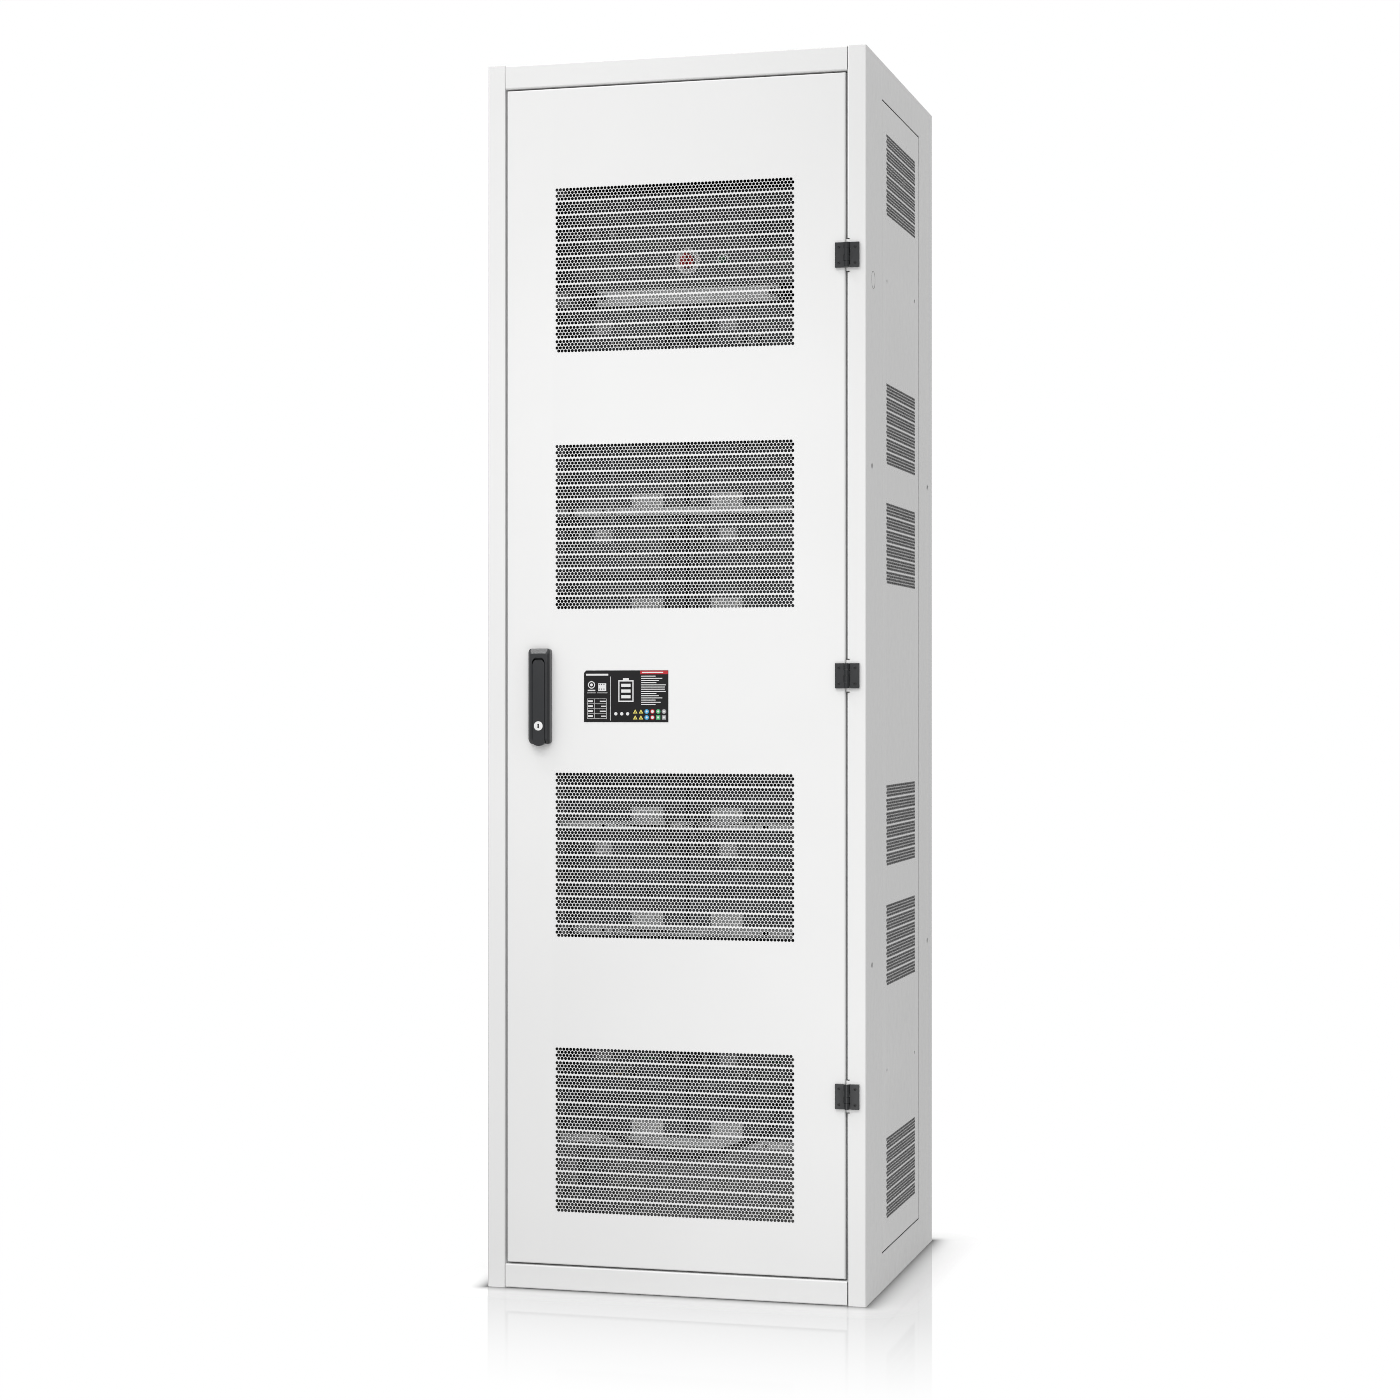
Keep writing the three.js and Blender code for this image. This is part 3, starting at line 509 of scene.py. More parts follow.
# ---------------------------------------------------------------- perforated sheets

PITCH = 6.0
ROW_PITCH = PITCH * math.sin(math.pi / 3)
BAND_PITCH = 23.1
BAND_ROWS = 4
HOLE = 2.7
HOLE_SIDES = 12
SHEET = 2.0
BEND = 0.8
DOOR_VENT = (68, 12)  # columns and bands
SIDE_VENT = (43, 6)
MARGIN = 5.0  # from the outer holes' centres to a vent's edge


def vent_half(vent):
    """Half width and half height of a vent's rectangle."""
    columns, bands = vent
    width = (columns - 0.5) * PITCH
    height = (bands - 1) * BAND_PITCH + (BAND_ROWS - 1) * ROW_PITCH
    return width / 2 + MARGIN, height / 2 + MARGIN


def vent_mesh(name, vent, thickness):
    """A closed perforated sheet in the plane (u, v), its outer side at w = 0, as arrays and faces."""
    columns, bands = vent
    n = HOLE_SIDES
    half_u, half_v = vent_half(vent)
    heights = [
        (b - (bands - 1) / 2) * BAND_PITCH + (k - (BAND_ROWS - 1) / 2) * ROW_PITCH
        for b in range(bands)
        for k in range(BAND_ROWS)
    ]
    rows = len(heights)
    ring = [(HOLE * math.cos(a), HOLE * math.sin(a)) for a in np.radians(15 + 30 * np.arange(n))]
    first_u = -(columns - 0.5) * PITCH / 2
    flat, faces = [], []
    base = {}
    for r, v in enumerate(heights):
        shift = 0.0 if r % 2 else PITCH / 2
        for c in range(columns):
            base[r, c] = len(flat)
            u = first_u + shift + c * PITCH
            flat += [(u + a, v + b) for a, b in ring]
    last = columns - 1

    def border(u, v):
        flat.append((u, v))
        return len(flat) - 1

    corners = [border(i * half_u, j * half_v) for j in (-1, 1) for i in (-1, 1)]
    left, right = [corners[0]], [corners[1]]
    for r in range(rows - 1):
        shifted = r % 2 == 0
        left.append(border(-half_u, flat[base[r, 0] + (4 if shifted else 2)][1]))
        right.append(border(half_u, flat[base[r, last] + (3 if shifted else 1)][1]))
    left.append(corners[2])
    right.append(corners[3])
    low, high = [corners[0]], [corners[2]]
    for c in range(columns - 1):
        low.append(border(flat[base[0, c] + 11][0], -half_v))
        high.append(border(flat[base[rows - 1, c]][0], half_v))
    low.append(corners[1])
    high.append(corners[3])

    for r in range(rows):
        shifted = r % 2 == 0
        for c in range(columns):
            b = base[r, c]
            if c < last:
                e = base[r, c + 1]
                faces.append((b + 11, e + 6, e + 5, b))
            if r + 1 == rows:
                continue
            right_up = base.get((r + 1, c + 1 if shifted else c))
            left_up = base.get((r + 1, c if shifted else c - 1))
            if right_up is not None:
                faces.append((b + 1, right_up + 8, right_up + 7, b + 2))
            if left_up is not None:
                faces.append((b + 3, left_up + 10, left_up + 9, b + 4))
            if c < last and right_up is not None:
                e = base[r, c + 1]
                faces.append((b, e + 5, e + 4, right_up + 9, right_up + 8, b + 1))
            if left_up is not None and right_up is not None:
                faces.append((b + 2, right_up + 7, right_up + 6, left_up + 11, left_up + 10, b + 3))
        start, stop = (7, 4) if shifted else (9, 2)
        own = [base[r, 0] + k for k in range(start if r else 6, (stop if r + 1 < rows else 5) - 1, -1)]
        below = [base[r - 1, 0] + (2 if shifted else 4)] if r else []
        faces.append((left[r], *below, *own, left[r + 1]))
        walk = [8, 9, 10, 11, 0, 1, 2, 3] if shifted else [10, 11, 0, 1]
        if r == 0:
            walk = [11, 0, 1, 2, 3]
        if r + 1 == rows:
            walk = [10, 11, 0]
        own = [base[r, last] + k for k in reversed(walk)]
        below = [base[r - 1, last] + (1 if shifted else 3)] if r else []
        faces.append((right[r], right[r + 1], *own, *below))
    for c in range(columns):
        b = base[0, c]
        before = (base[0, c - 1] + 11,) if c else ()
        faces.append((low[c], low[c + 1], *[b + k for k in range(11, 5, -1)], *before))
        b = base[rows - 1, c]
        before = (base[rows - 1, c - 1],) if c else ()
        faces.append((high[c + 1], high[c], *before, *[b + k for k in range(5, -1, -1)]))

    rings = [[b + k for k in range(n)] for b in base.values()]
    outline = low + right[1:] + high[::-1][1:] + left[::-1][1:-1]
    verts = [(u, v, 0.0) for u, v in flat] + [(u, v, thickness) for u, v in flat]
    data = bpy.data.meshes.new(name)
    every = two_sided(faces, [*rings, outline[::-1]], len(flat))
    data.from_pydata((np.array(verts) * MM).tolist(), [], every)
    # The holes' walls take the second look, a dark grey that is painted shade.
    hole_shade_slots = [0] * (2 * len(faces)) + [1] * (n * len(base)) + [0] * len(outline)
    data.polygons.foreach_set("material_index", hole_shade_slots)
    return data


def plate_grid(levels_a, levels_b, windows=(), holes=()):
    """Faces of a flat plate cut by windows (a, b ranges) and by round holes (a, b, radius).

    Returns its points, its faces, and the loops of the edges of its openings."""
    for (a0, a1), (b0, b1) in windows:
        levels_a = levels_a | {a0, a1}
        levels_b = levels_b | {b0, b1}
    for a, b, radius in holes:
        levels_a = levels_a | {a - 2 * radius, a + 2 * radius}
        levels_b = levels_b | {b - 2 * radius, b + 2 * radius}
    la, lb = sorted(levels_a), sorted(levels_b)
    points = [(a, b) for b in lb for a in la]
    at = {p: i for i, p in enumerate(points)}
    faces, loops = [], []
    for j in range(len(lb) - 1):
        for i in range(len(la) - 1):
            ca, cb = middle(la[i : i + 2]), middle(lb[j : j + 2])
            if any(a[0] < ca < a[1] and b[0] < cb < b[1] for a, b in windows):
                continue
            inside = [
                h
                for h in holes
                if abs(ca - h[0]) < 2 * h[2] and abs(cb - h[1]) < 2 * h[2]
            ]
            if not inside:
                cell = ((la[i], lb[j]), (la[i + 1], lb[j]), (la[i + 1], lb[j + 1]), (la[i], lb[j + 1]))
                faces.append(tuple(at[p] for p in cell))
    steps = 6
    for a, b, radius in holes:
        ring = []
        for p in arc((a, b), radius, -135, 225, 4 * steps)[:-1]:
            points.append(p)
            ring.append(len(points) - 1)
        reach = 2 * radius
        xs = [x for x in la if a - reach <= x <= a + reach]
        zs = [z for z in lb if b - reach <= z <= b + reach]
        sides = (
            [(x, zs[0]) for x in xs],
            [(xs[-1], z) for z in zs],
            [(x, zs[-1]) for x in reversed(xs)],
            [(xs[0], z) for z in reversed(zs)],
        )
        for q, side in enumerate(sides):
            part = [ring[(q * steps + k) % (4 * steps)] for k in range(steps, -1, -1)]
            faces.append((*[at[p] for p in side], *part))
        loops.append(ring)
    for (a0, a1), (b0, b1) in windows:
        edge = [(x, b0) for x in la if a0 <= x <= a1]
        edge += [(a1, z) for z in lb if b0 < z <= b1]
        edge += [(x, b1) for x in reversed(la) if a0 <= x < a1]
        edge += [(a0, z) for z in reversed(lb) if b0 < z < b1]
        loops.append([at[p] for p in edge])
    return la, lb, points, faces, loops


def pan(place, a, b, depth, lip=None, windows=(), holes=()):
    """A folded pan: a plate over the ranges a and b, its edges folded back by depth, then in by lip.

    place(a, b, d) gives the point at depth d behind the outer face."""
    radius = SHEET + BEND
    la, lb, points, faces, loops = plate_grid(
        {a[0] + radius, a[1] - radius}, {b[0] + radius, b[1] - radius}, windows, holes
    )
    verts = [place(p, q, d) for d in (0.0, SHEET) for p, q in points]
    shape = Shape().add(verts, two_sided(faces, loops, len(points)))

    quarter = [math.radians(22.5 * k) for k in range(5)]
    profile = [(radius - radius * math.sin(t), radius - radius * math.cos(t)) for t in quarter]
    if lip:
        profile += [(radius - radius * math.cos(t), depth - radius + radius * math.sin(t)) for t in quarter]
        profile += [(lip, depth), (lip, depth - SHEET)]
        profile += [(radius - BEND * math.sin(t), depth - radius + BEND * math.cos(t)) for t in quarter]
    else:
        profile += [(0.0, depth), (SHEET, depth)]
    profile += [(radius - BEND * math.cos(t), radius - BEND * math.sin(t)) for t in quarter]
    inner_a, inner_b = la[1:-1], lb[1:-1]
    rings = []
    for step, d in profile:
        (a0, a1), (b0, b1) = inset(a, step), inset(b, step)
        ring = [(p, b0) for p in (a0, *inner_a)] + [(a1, q) for q in (b0, *inner_b)]
        ring += [(p, b1) for p in (a1, *inner_a[::-1])] + [(a0, q) for q in (b1, *inner_b[::-1])]
        rings.append([place(p, q, d) for p, q in ring])
    return shape.loft(rings, caps=(False, False))


def vent_windows(centres, vent):
    half_u, half_v = vent_half(vent)
    return [((-half_u, half_u), around(c, half_v)) for c in centres]


def vent_pieces(name, centres, vent, basis, body):
    """One perforated piece per vent, all from one mesh; basis holds the u, v, w axes and the origin."""
    source = vent_mesh(name, vent, SHEET)
    for i, centre in enumerate(centres):
        data = source.copy()
        *axes, origin = (Vector(x) for x in basis)
        matrix = Matrix(axes).transposed().to_4x4()
        matrix.translation = (origin + axes[1] * centre) * MM
        data.transform(matrix)
        piece(f"{name}_{i + 1}", data, body, [VENT_WHITE, VENT_HOLE_SHADE], bevel=0, flat=True)
    bpy.data.meshes.remove(source)


# ---------------------------------------------------------------- door

door_x, door_y, door_z = span("door_panel")
FRONT = door_y[0]
DOOR_CENTRES = (269.0, 729.0, 1277.5, 1707.0)
SPINDLE = (-230.0, 1049.0)

door_sheet = pan(
    lambda a, b, d: (a, FRONT + d, b),
    door_x,
    door_z,
    door_y[1] - door_y[0],
    12.0,
    vent_windows(DOOR_CENTRES, DOOR_VENT),
    [(*SPINDLE, 8.0)],
)
piece("door_sheet", door_sheet, "door", [WHITE], bevel=0, replaces=["door_panel"])
door_basis = ((1, 0, 0), (0, 0, 1), (0, 1, 0), (0, FRONT, 0))
vent_pieces("door_vent", DOOR_CENTRES, DOOR_VENT, door_basis, "door")

# ---------------------------------------------------------------- side panels

SIDE_CENTRES = (182.0, 574.5, 776.5, 1252.5, 1453.5, 1873.5)
PANEL_SCREWS = [(y, z, 3.4) for y in (-125.0, 125.0) for z in (364.0, 1693.5)]

for side, label in ((1, "right"), (-1, "left")):
    x, y, z = span(f"side_panel_{label}")
    outer = x[1] if side > 0 else x[0]
    sheet = pan(
        lambda a, b, d, s=side, o=outer: (o - s * d, s * a, b),
        (-y[1], -y[0]) if side < 0 else y,
        z,
        x[1] - x[0],
        None,
        vent_windows(SIDE_CENTRES, SIDE_VENT),
        PANEL_SCREWS,
    )
    name, replaced = f"side_sheet_{label}", [f"side_panel_{label}"]
    piece(name, sheet, "cabinet", [WHITE], bevel=0, replaces=replaced)
    side_basis = ((0, side, 0), (0, 0, 1), (-side, 0, 0), (outer, 0, 0))
    vent_pieces(f"side_vent_{label}", SIDE_CENTRES, SIDE_VENT, side_basis, "cabinet")

# ---------------------------------------------------------------- small parts


def hexagon_radius(radius, angle):
    """Distance to the edge of a hexagon at an angle in degrees."""
    return radius * math.cos(math.radians(30)) / math.cos(math.radians(angle % 60 - 30))


def screw_shape(radius, length=0.0):
    """A domed head with a hex socket, standing on z = 0 and pointing along +Z, and its shank below."""
    height = socket = shank = 0.5 * radius
    angles = range(0, 360, 15)

    def ring(size, z, hexagonal=False):
        points = []
        for angle in angles:
            r = hexagon_radius(size, angle) if hexagonal else size
            points.append((*polar((0, 0), r, angle), z))
        return points

    rings = [ring(shank, -length), ring(shank, 0.0)] if length else []
    rings += [ring(radius, 0.0), ring(radius, 0.25 * height)]
    for angle in map(math.radians, (25, 50, 70)):
        dome = lerp(0.62 * radius, radius, math.cos(angle))
        rings.append(ring(dome, lerp(0.25 * height, height, math.sin(angle))))
    for size, rise in ((1.12, 1.0), (1.0, 0.9), (1.0, 0.2)):
        rings.append(ring(size * socket, rise * height, True))
    return Shape().loft(rings)


def aimed(place, direction):
    """The matrix that stands a +Z shape on a place, pointing along a direction."""
    turn = Vector((0, 0, 1)).rotation_difference(Vector(direction)).to_matrix().to_4x4()
    return Matrix.Translation(place) @ turn


def screws(name, places, direction, radius, length=0.0, body="cabinet", material=ZINC):
    """One piece holding a screw at each place."""
    screw, group = screw_shape(radius, length), Shape()
    for place in places:
        group.moved(aimed(place, direction), screw)
    return piece(name, group, body, [material], bevel=0)


def smooth_path(points, steps=8):
    """Points on a Catmull-Rom curve through the given ones."""
    ends = [2 * Vector(points[0]) - Vector(points[1]), *map(Vector, points)]
    ends.append(2 * Vector(points[-1]) - Vector(points[-2]))
    path = []
    for i in range(1, len(ends) - 2):
        p0, p1, p2, p3 = ends[i - 1 : i + 3]
        for k in range(steps):
            t = k / steps
            bend = 2 * p0 - 5 * p1 + 4 * p2 - p3
            twist = 3 * p1 - 3 * p2 + p3 - p0
            path.append(0.5 * (2 * p1 + (p2 - p0) * t + bend * t**2 + twist * t**3))
    return path + [ends[-2]]


def mirrored_pair(x):
    return (-x, x)


# ---------------------------------------------------------------- fasteners and glands

FORWARD, BACKWARD = (0, -1, 0), (0, 1, 0)
panel_x = {"right": span("side_panel_right")[0][1], "left": span("side_panel_left")[0][0]}
for label, side in (("right", 1), ("left", -1)):
    sunk = panel_x[label] - side * (SHEET + 0.4)
    places = [(sunk, y, z) for y, z, _ in PANEL_SCREWS]
    screws(f"panel_screws_{label}", places, (side, 0, 0), 3.1, 13.0, material=BLACK_ZINC)

REAR_SCREWS = {"inset": 14.0, "end": 40.0, "count": 6, "radius": 4.5}
rear_x, rear_y, rear_z = span("rear_panel")
rear_ends = inset(rear_z, REAR_SCREWS["end"])
rear_places = [
    (x, rear_y[1], lerp(*rear_ends, i / (REAR_SCREWS["count"] - 1)))
    for x in inset(rear_x, REAR_SCREWS["inset"])
    for i in range(REAR_SCREWS["count"])
]
screws("rear_panel_screws", rear_places, BACKWARD, REAR_SCREWS["radius"])

roof_top = span("roof")[2][1]
gland_x, gland_y, gland_z = span("gland_plate")
GLAND_SCREWS = {"inset": 5.0, "radius": 3.2}
gland_places = [
    (x, y, roof_top)
    for x in inset(gland_x, GLAND_SCREWS["inset"])
    for y in inset(gland_y, GLAND_SCREWS["inset"])
]
screws("gland_plate_screws", gland_places, (0, 0, 1), GLAND_SCREWS["radius"])
GLAND_SPACING = 62.0
GLAND_PROFILE = (
    *((0, -11.7), (6, -11.7), (7, -7.7), (12, -7.2), (13, -3.2), (18, -2.7), (24, -2.7), (24, -0.2)),
    *((19.7, -0.2), (19.7, 2.2), (24, 2.2), (24, 3.6), (23, 4.1), (17.5, 4.1), (16.5, -0.7)),
    *((11.5, -1.2), (10.5, -5.2), (5.5, -5.7), (4.5, -9.7), (0, -9.7)),
)  # a stepped blind grommet round the plate's hole, heights from the plate's underside
grommets = Shape()
for x in (-GLAND_SPACING, 0.0, GLAND_SPACING):
    centre = (x, middle(gland_y))
    grommets.turned([(r, gland_z[0] + h) for r, h in GLAND_PROFILE], "z", centre, 40)
piece("gland_grommets", grommets, "cabinet", [RUBBER], bevel=0.25)

# Slits of the knock-outs, as in the side frames, drawn as dark strips that are painted shade for the gaps,
# and the seals in the gaps round the side panels.
KNOCKOUT = {"centre": (-241.0, 1680.0), "radius": 14.3, "slit": 1.1, "bridge": 12.0, "steps": 24}
SEAL = {"gap": 0.9, "bite": 0.05, "depths": (0.7, 9.0)}
for label, side in (("right", 1), ("left", -1)):
    face = panel_x[label]
    slit_shade = Shape()
    for start in (90 + KNOCKOUT["bridge"] / 2, 270 + KNOCKOUT["bridge"] / 2):
        end = start + 180 - KNOCKOUT["bridge"]
        edges = (KNOCKOUT["radius"] + KNOCKOUT["slit"] / 2, KNOCKOUT["radius"] - KNOCKOUT["slit"] / 2)
        outer = arc(KNOCKOUT["centre"], edges[0], start, end, KNOCKOUT["steps"])
        inner = arc(KNOCKOUT["centre"], edges[1], end, start, KNOCKOUT["steps"])
        slit_shade.prism(outer + inner, "x", *sorted((face - side * 0.3, face + side * 0.05)))
    piece(f"knockout_slit_shade_{label}", slit_shade, "cabinet", [KNOCKOUT_SLIT_SHADE], bevel=0, flat=True)

    edge_y, edge_z = span(f"side_panel_{label}")[1:]
    gap, bite = SEAL["gap"], SEAL["bite"]
    seal = Shape().plate(
        lambda a, b, d, s=side, f=face: (f - s * d, a, b),
        inset(edge_y, -gap),
        inset(edge_z, -gap),
        SEAL["depths"],
        [(inset(edge_y, -bite), inset(edge_z, -bite))],
    )
    piece(f"side_panel_seal_{label}", seal, "cabinet", [RUBBER], bevel=0)

HINGE_LEVELS = ("lower", "middle", "upper")
LEAF_SCREWS = {"x": 6.5, "z": 7.5, "behind_knuckles": 4.6, "radius": 2.3}
for level in HINGE_LEVELS:
    for leaf, side, body in (("frame", 1, "cabinet"), ("door", -1, "door")):
        x, y, z = span(f"hinge_{level}_{leaf}_leaf")
        column = x[1] - LEAF_SCREWS["x"] if side > 0 else x[0] + LEAF_SCREWS["x"]
        leaf_face = y[1] - LEAF_SCREWS["behind_knuckles"]
        places = [(column, leaf_face, row) for row in inset(z, LEAF_SCREWS["z"])]
        name = f"hinge_{level}_{leaf}_screws"
        screws(name, places, FORWARD, LEAF_SCREWS["radius"], 0.0, body, SOCKET_BLACK)

# ---------------------------------------------------------------- rating plate

plate_x, plate_y, plate_z = span("rating_plate")
PRINT = 0.12  # thickness of the printed layer
INKS = [INK_WHITE, INK_RED, INK_YELLOW, INK_BLUE, INK_GREEN, INK_GREY, INK_BLACK]
WHITE_INK, RED_INK, YELLOW_INK, BLUE_INK, GREEN_INK, GREY_INK, BLACK_INK = range(7)
print_layer = Shape()


def on_plate(u, v):
    """A point on the plate, from percent across and percent down."""
    return lerp(*plate_x, u / 100), lerp(plate_z[1], plate_z[0], v / 100)


def ink(outline, colour=WHITE_INK, layer=0):
    """A printed patch; a higher layer lies over a lower one."""
    near = plate_y[0] - PRINT * (layer + 1)
    print_layer.prism(outline, "y", near, near + PRINT, colour)


def bar(u, v, colour=WHITE_INK, layer=0):
    (x0, z0), (x1, z1) = on_plate(u[0], v[0]), on_plate(u[1], v[1])
    ink([(x0, z1), (x1, z1), (x1, z0), (x0, z0)], colour, layer)


def disc(u, v, radius, colour, sides=20, turn=0.0, layer=0):
    ink(arc(on_plate(u, v), radius, turn, turn + 360, sides)[:-1], colour, layer)


def rule(a, b, width=0.5):
    """A thin printed line between two points."""
    (x0, z0), (x1, z1) = on_plate(*a), on_plate(*b)
    dx, dz = Vector((z0 - z1, x1 - x0)).normalized() * width / 2
    ink([(x0 - dx, z0 - dz), (x1 - dx, z1 - dz), (x1 + dx, z1 + dz), (x0 + dx, z0 + dz)])


EMBLEM = {"u": 9, "v": 28, "rings": ((6.2, WHITE_INK), (4.6, BLACK_INK), (2.4, WHITE_INK))}
HEADER_BARS = (((2.5, 29), (6.5, 10)), ((4.5, 13.5), (37.5, 40)), ((17, 26.5), (25, 40)))
UNDERLINES = (((4, 14), (43, 44)), ((16, 28), (43, 44)))
CODE = {"u": 17.6, "v": 26, "cells": 6, "pitch": (1.42, 2.3), "size": (1.2, 1.9)}
for u, v in (*HEADER_BARS, *UNDERLINES):
    bar(u, v)
for layer, (radius, colour) in enumerate(EMBLEM["rings"]):
    disc(EMBLEM["u"], EMBLEM["v"], radius, colour, 24 if layer == 2 else 32, layer=layer)
for i in range(CODE["cells"]):
    for j in range(CODE["cells"]):
        if (i * i + 3 * j + i * j) % 4 == 0:
            u, v = CODE["u"] + CODE["pitch"][0] * i, CODE["v"] + CODE["pitch"][1] * j
            bar((u, u + CODE["size"][0]), (v, v + CODE["size"][1]), BLACK_INK, 1)
TABLE = {"u": (4, 27), "v": (55, 93.5), "split": 12.5, "rows": 4}
for i in range(TABLE["rows"] + 1):
    v = lerp(*TABLE["v"], i / TABLE["rows"])
    rule((TABLE["u"][0], v), (TABLE["u"][1], v))
    if i < TABLE["rows"]:
        row = v + 4.8
        bar((5, 10.5), (row - 1.8, row + 1.6))
        bar((19 + i % 2 * 1.5, 26.3), around(row, 1.0))
for u in (*TABLE["u"], TABLE["split"]):
    rule((u, TABLE["v"][0]), (u, TABLE["v"][1]))
rule((31.5, 12), (31.5, 97), 0.8)

# A battery pictogram: an outlined cell with its cap and three charge bars.
bar((41, 59), (19, 61))
bar((46.5, 53.5), (15, 19))
bar((42.3, 57.7), (21.5, 58.5), BLACK_INK, 1)
for v in (26, 37, 48):
    bar((44.5, 55.5), (v, v + 6), WHITE_INK, 2)
for u in (38, 45, 52):
    disc(u, 84, 2.8, WHITE_INK)

bar((67, 99.6), (0.5, 7.5), RED_INK)
bar((69, 94), (3, 5.2), WHITE_INK, 1)
for i in range(14):
    v = 10.5 + 4.2 * i
    bar((68, 85 + (i * i * 7 + i) % 13), (v, v + 1.6))
PICTOGRAMS = (YELLOW_INK, YELLOW_INK, BLUE_INK, RED_INK, GREEN_INK, GREY_INK)
for column, colour in enumerate(PICTOGRAMS):
    u = 61 + 6.8 * column
    for row, v in enumerate((79.5, 91)):
        if colour == YELLOW_INK:
            disc(u, v + 1.2, 4.4, colour, 3, 90)
            disc(u, v + 1.2, 1.6, BLACK_INK, 3, 90, 1)
        elif colour == RED_INK:
            disc(u, v, 3.8, colour)
            disc(u, v, 2.5, WHITE_INK, layer=1)
        elif row and colour != BLUE_INK:
            disc(u, v, 5.0, colour, 4, 45)
            disc(u, v, 2.2, WHITE_INK, 4, 45, 1)
        else:
            disc(u, v, 3.8, colour)
            disc(u, v, 1.7, WHITE_INK, layer=1)
piece("rating_plate_print", print_layer, "door", INKS, bevel=0, flat=True)

# ---------------------------------------------------------------- battery modules

SIDES = (("left", -1), ("right", 1))
LEVELS = range(1, 9)
TERMINAL = {"x": 85.0, "z": 132.0, "half": (13.0, 14.0), "proud": 9.0, "hole": 8.2}
COLLAR_LIP = ((-0.1, -7.5), (-0.1, -9.0), (0.6, -9.6), (1.8, -9.6), (2.2, -9.0), (2.2, -8.9))
SOCKET = {"x": 12.5, "z": 104.0, "half": (8.0, 6.0), "rim": 1.4}
RECESS = {"x": 62.5, "z": (30.0, 150.0)}
LENS = ((2.0, 2.2), (2.0, 1.2), (1.5, 0.6), (0.8, 0.3), (0.0, 0.2))
GRIP_FOOT = ((8.0, 2.2), (8.0, 0.4), (6.6, -0.6), (4.4, -1.0), (4.0, -1.2))
LID_SEAM = 149.0
MODULE_SIZE = (214.0, 414.0, 163.0)
COVER = 8.0  # depth of the front cover
RIBS = {"count": 12, "end": 22.0, "half": 5.0, "proud": 2.2}
PADS = {"count": 9, "end": 16.0, "half": 4.0}
SLOTS = {"x": range(71, 101, 6), "half": 1.4, "z": (40.0, 100.0)}
GRIP = {"x": 44.0, "z": 58.0, "reach": 13.0, "radius": 4.2}
CASE, LID_PART, METAL, GOLD, LAMP, FILM, MARK, COLLAR = range(8)
MODULE_LOOKS = [MODULE, LID, ZINC, CONTACT, GREEN, INK_GREY, INK_WHITE, ZINC]


def module_shape(size):
    """A battery module with the middle of its lower front edge at the origin."""
    (width, depth, height), cover = size, COVER
    half = width / 2
    shape = Shape()
    shape.block((1.2 - half, half - 1.2), (cover, depth - 1), (0, LID_SEAM), CASE)
    rib_z, pad_z = (6, LID_SEAM - 8), (height - 2.5, height)
    for k in range(RIBS["count"]):
        y = lerp(cover + RIBS["end"], depth - RIBS["end"], k / (RIBS["count"] - 1))
        for side in (-1, 1):
            rib_x = sorted((side * (half - RIBS["proud"]), side * half))
            shape.block(rib_x, around(y, RIBS["half"]), rib_z, CASE)
    shape.block((-half, half), (cover, depth), (LID_SEAM + 0.6, height - 1.5), LID_PART)
    for k in range(PADS["count"]):
        x = lerp(PADS["end"] - half, half - PADS["end"], k / (PADS["count"] - 1))
        shape.block(around(x, PADS["half"]), (cover + 14, depth - 14), pad_z, LID_PART)
    module_front(shape, half, height, cover)
    for x in mirrored_pair(TERMINAL["x"]):
        terminal(shape, x, TERMINAL["z"])
    for x in mirrored_pair(half - 8):
        for z in (9.0, height - 9.0):
            shape.moved(aimed((x, 0.0, z), FORWARD), screw_shape(2.8), METAL)
    return shape


def module_front(shape, half, height, cover):
    """The two-layer front cover with slots, sockets, a marked film, lamps and a pull bar."""
    front = (-half + 2, half - 2)
    middles = [side * x for side in (-1, 1) for x in SLOTS["x"]]
    slots = [(around(x, SLOTS["half"]), SLOTS["z"]) for x in middles]
    recess = (mirrored_pair(RECESS["x"]), RECESS["z"])
    shape.plate(facing, front, (2, height - 2), (0.0, 2.2), [recess, *slots], slot=CASE)
    wide, high = SOCKET["half"]
    z = SOCKET["z"]
    sockets = [(around(x, wide), around(z, high)) for x in mirrored_pair(SOCKET["x"])]
    back = ((front[0] + 0.5, front[1] - 0.5), (2.5, height - 2.5), (2.3, cover + 0.5))
    shape.plate(facing, *back, sockets, slot=CASE)
    for x, window in zip(mirrored_pair(SOCKET["x"]), sockets):
        for k in range(8):
            pin = x + lerp(-4.9, 4.9, k / 7)
            shape.block(around(pin, 0.3), (3.4, 8.2), (z - 3.5, z - 1), GOLD)
        rim = SOCKET["rim"]
        outer = [inset(ends, -rim) for ends in window]
        shape.plate(facing, *outer, (1.4, 2.6), [window], slot=METAL)

    shape.block((-54, -24), (1.7, 2.4), (118, 142), FILM)
    for k in range(3):
        shape.block((-51, -30 - 4 * k), (1.5, 1.8), (136 - 7 * k, 138.4 - 7 * k), MARK)
    for k in range(4):
        shape.fitted(LENS, (30 + 7 * k, 130), 0.0, 16, LAMP)
    bar_x, bar_z, reach = GRIP["x"], GRIP["z"], GRIP["reach"]
    grip = [(-bar_x, 3, bar_z), (-bar_x, -reach + 5, bar_z), (-41, -reach + 1, bar_z), (-36, -reach, bar_z)]
    grip += [(-x, y, z) for x, y, z in reversed(grip)]
    shape.tube(smooth_path(grip, 5), GRIP["radius"], 14, LID_PART)
    for x in mirrored_pair(bar_x):
        shape.fitted(GRIP_FOOT, (x, bar_z), 0.0, 20, LID_PART)


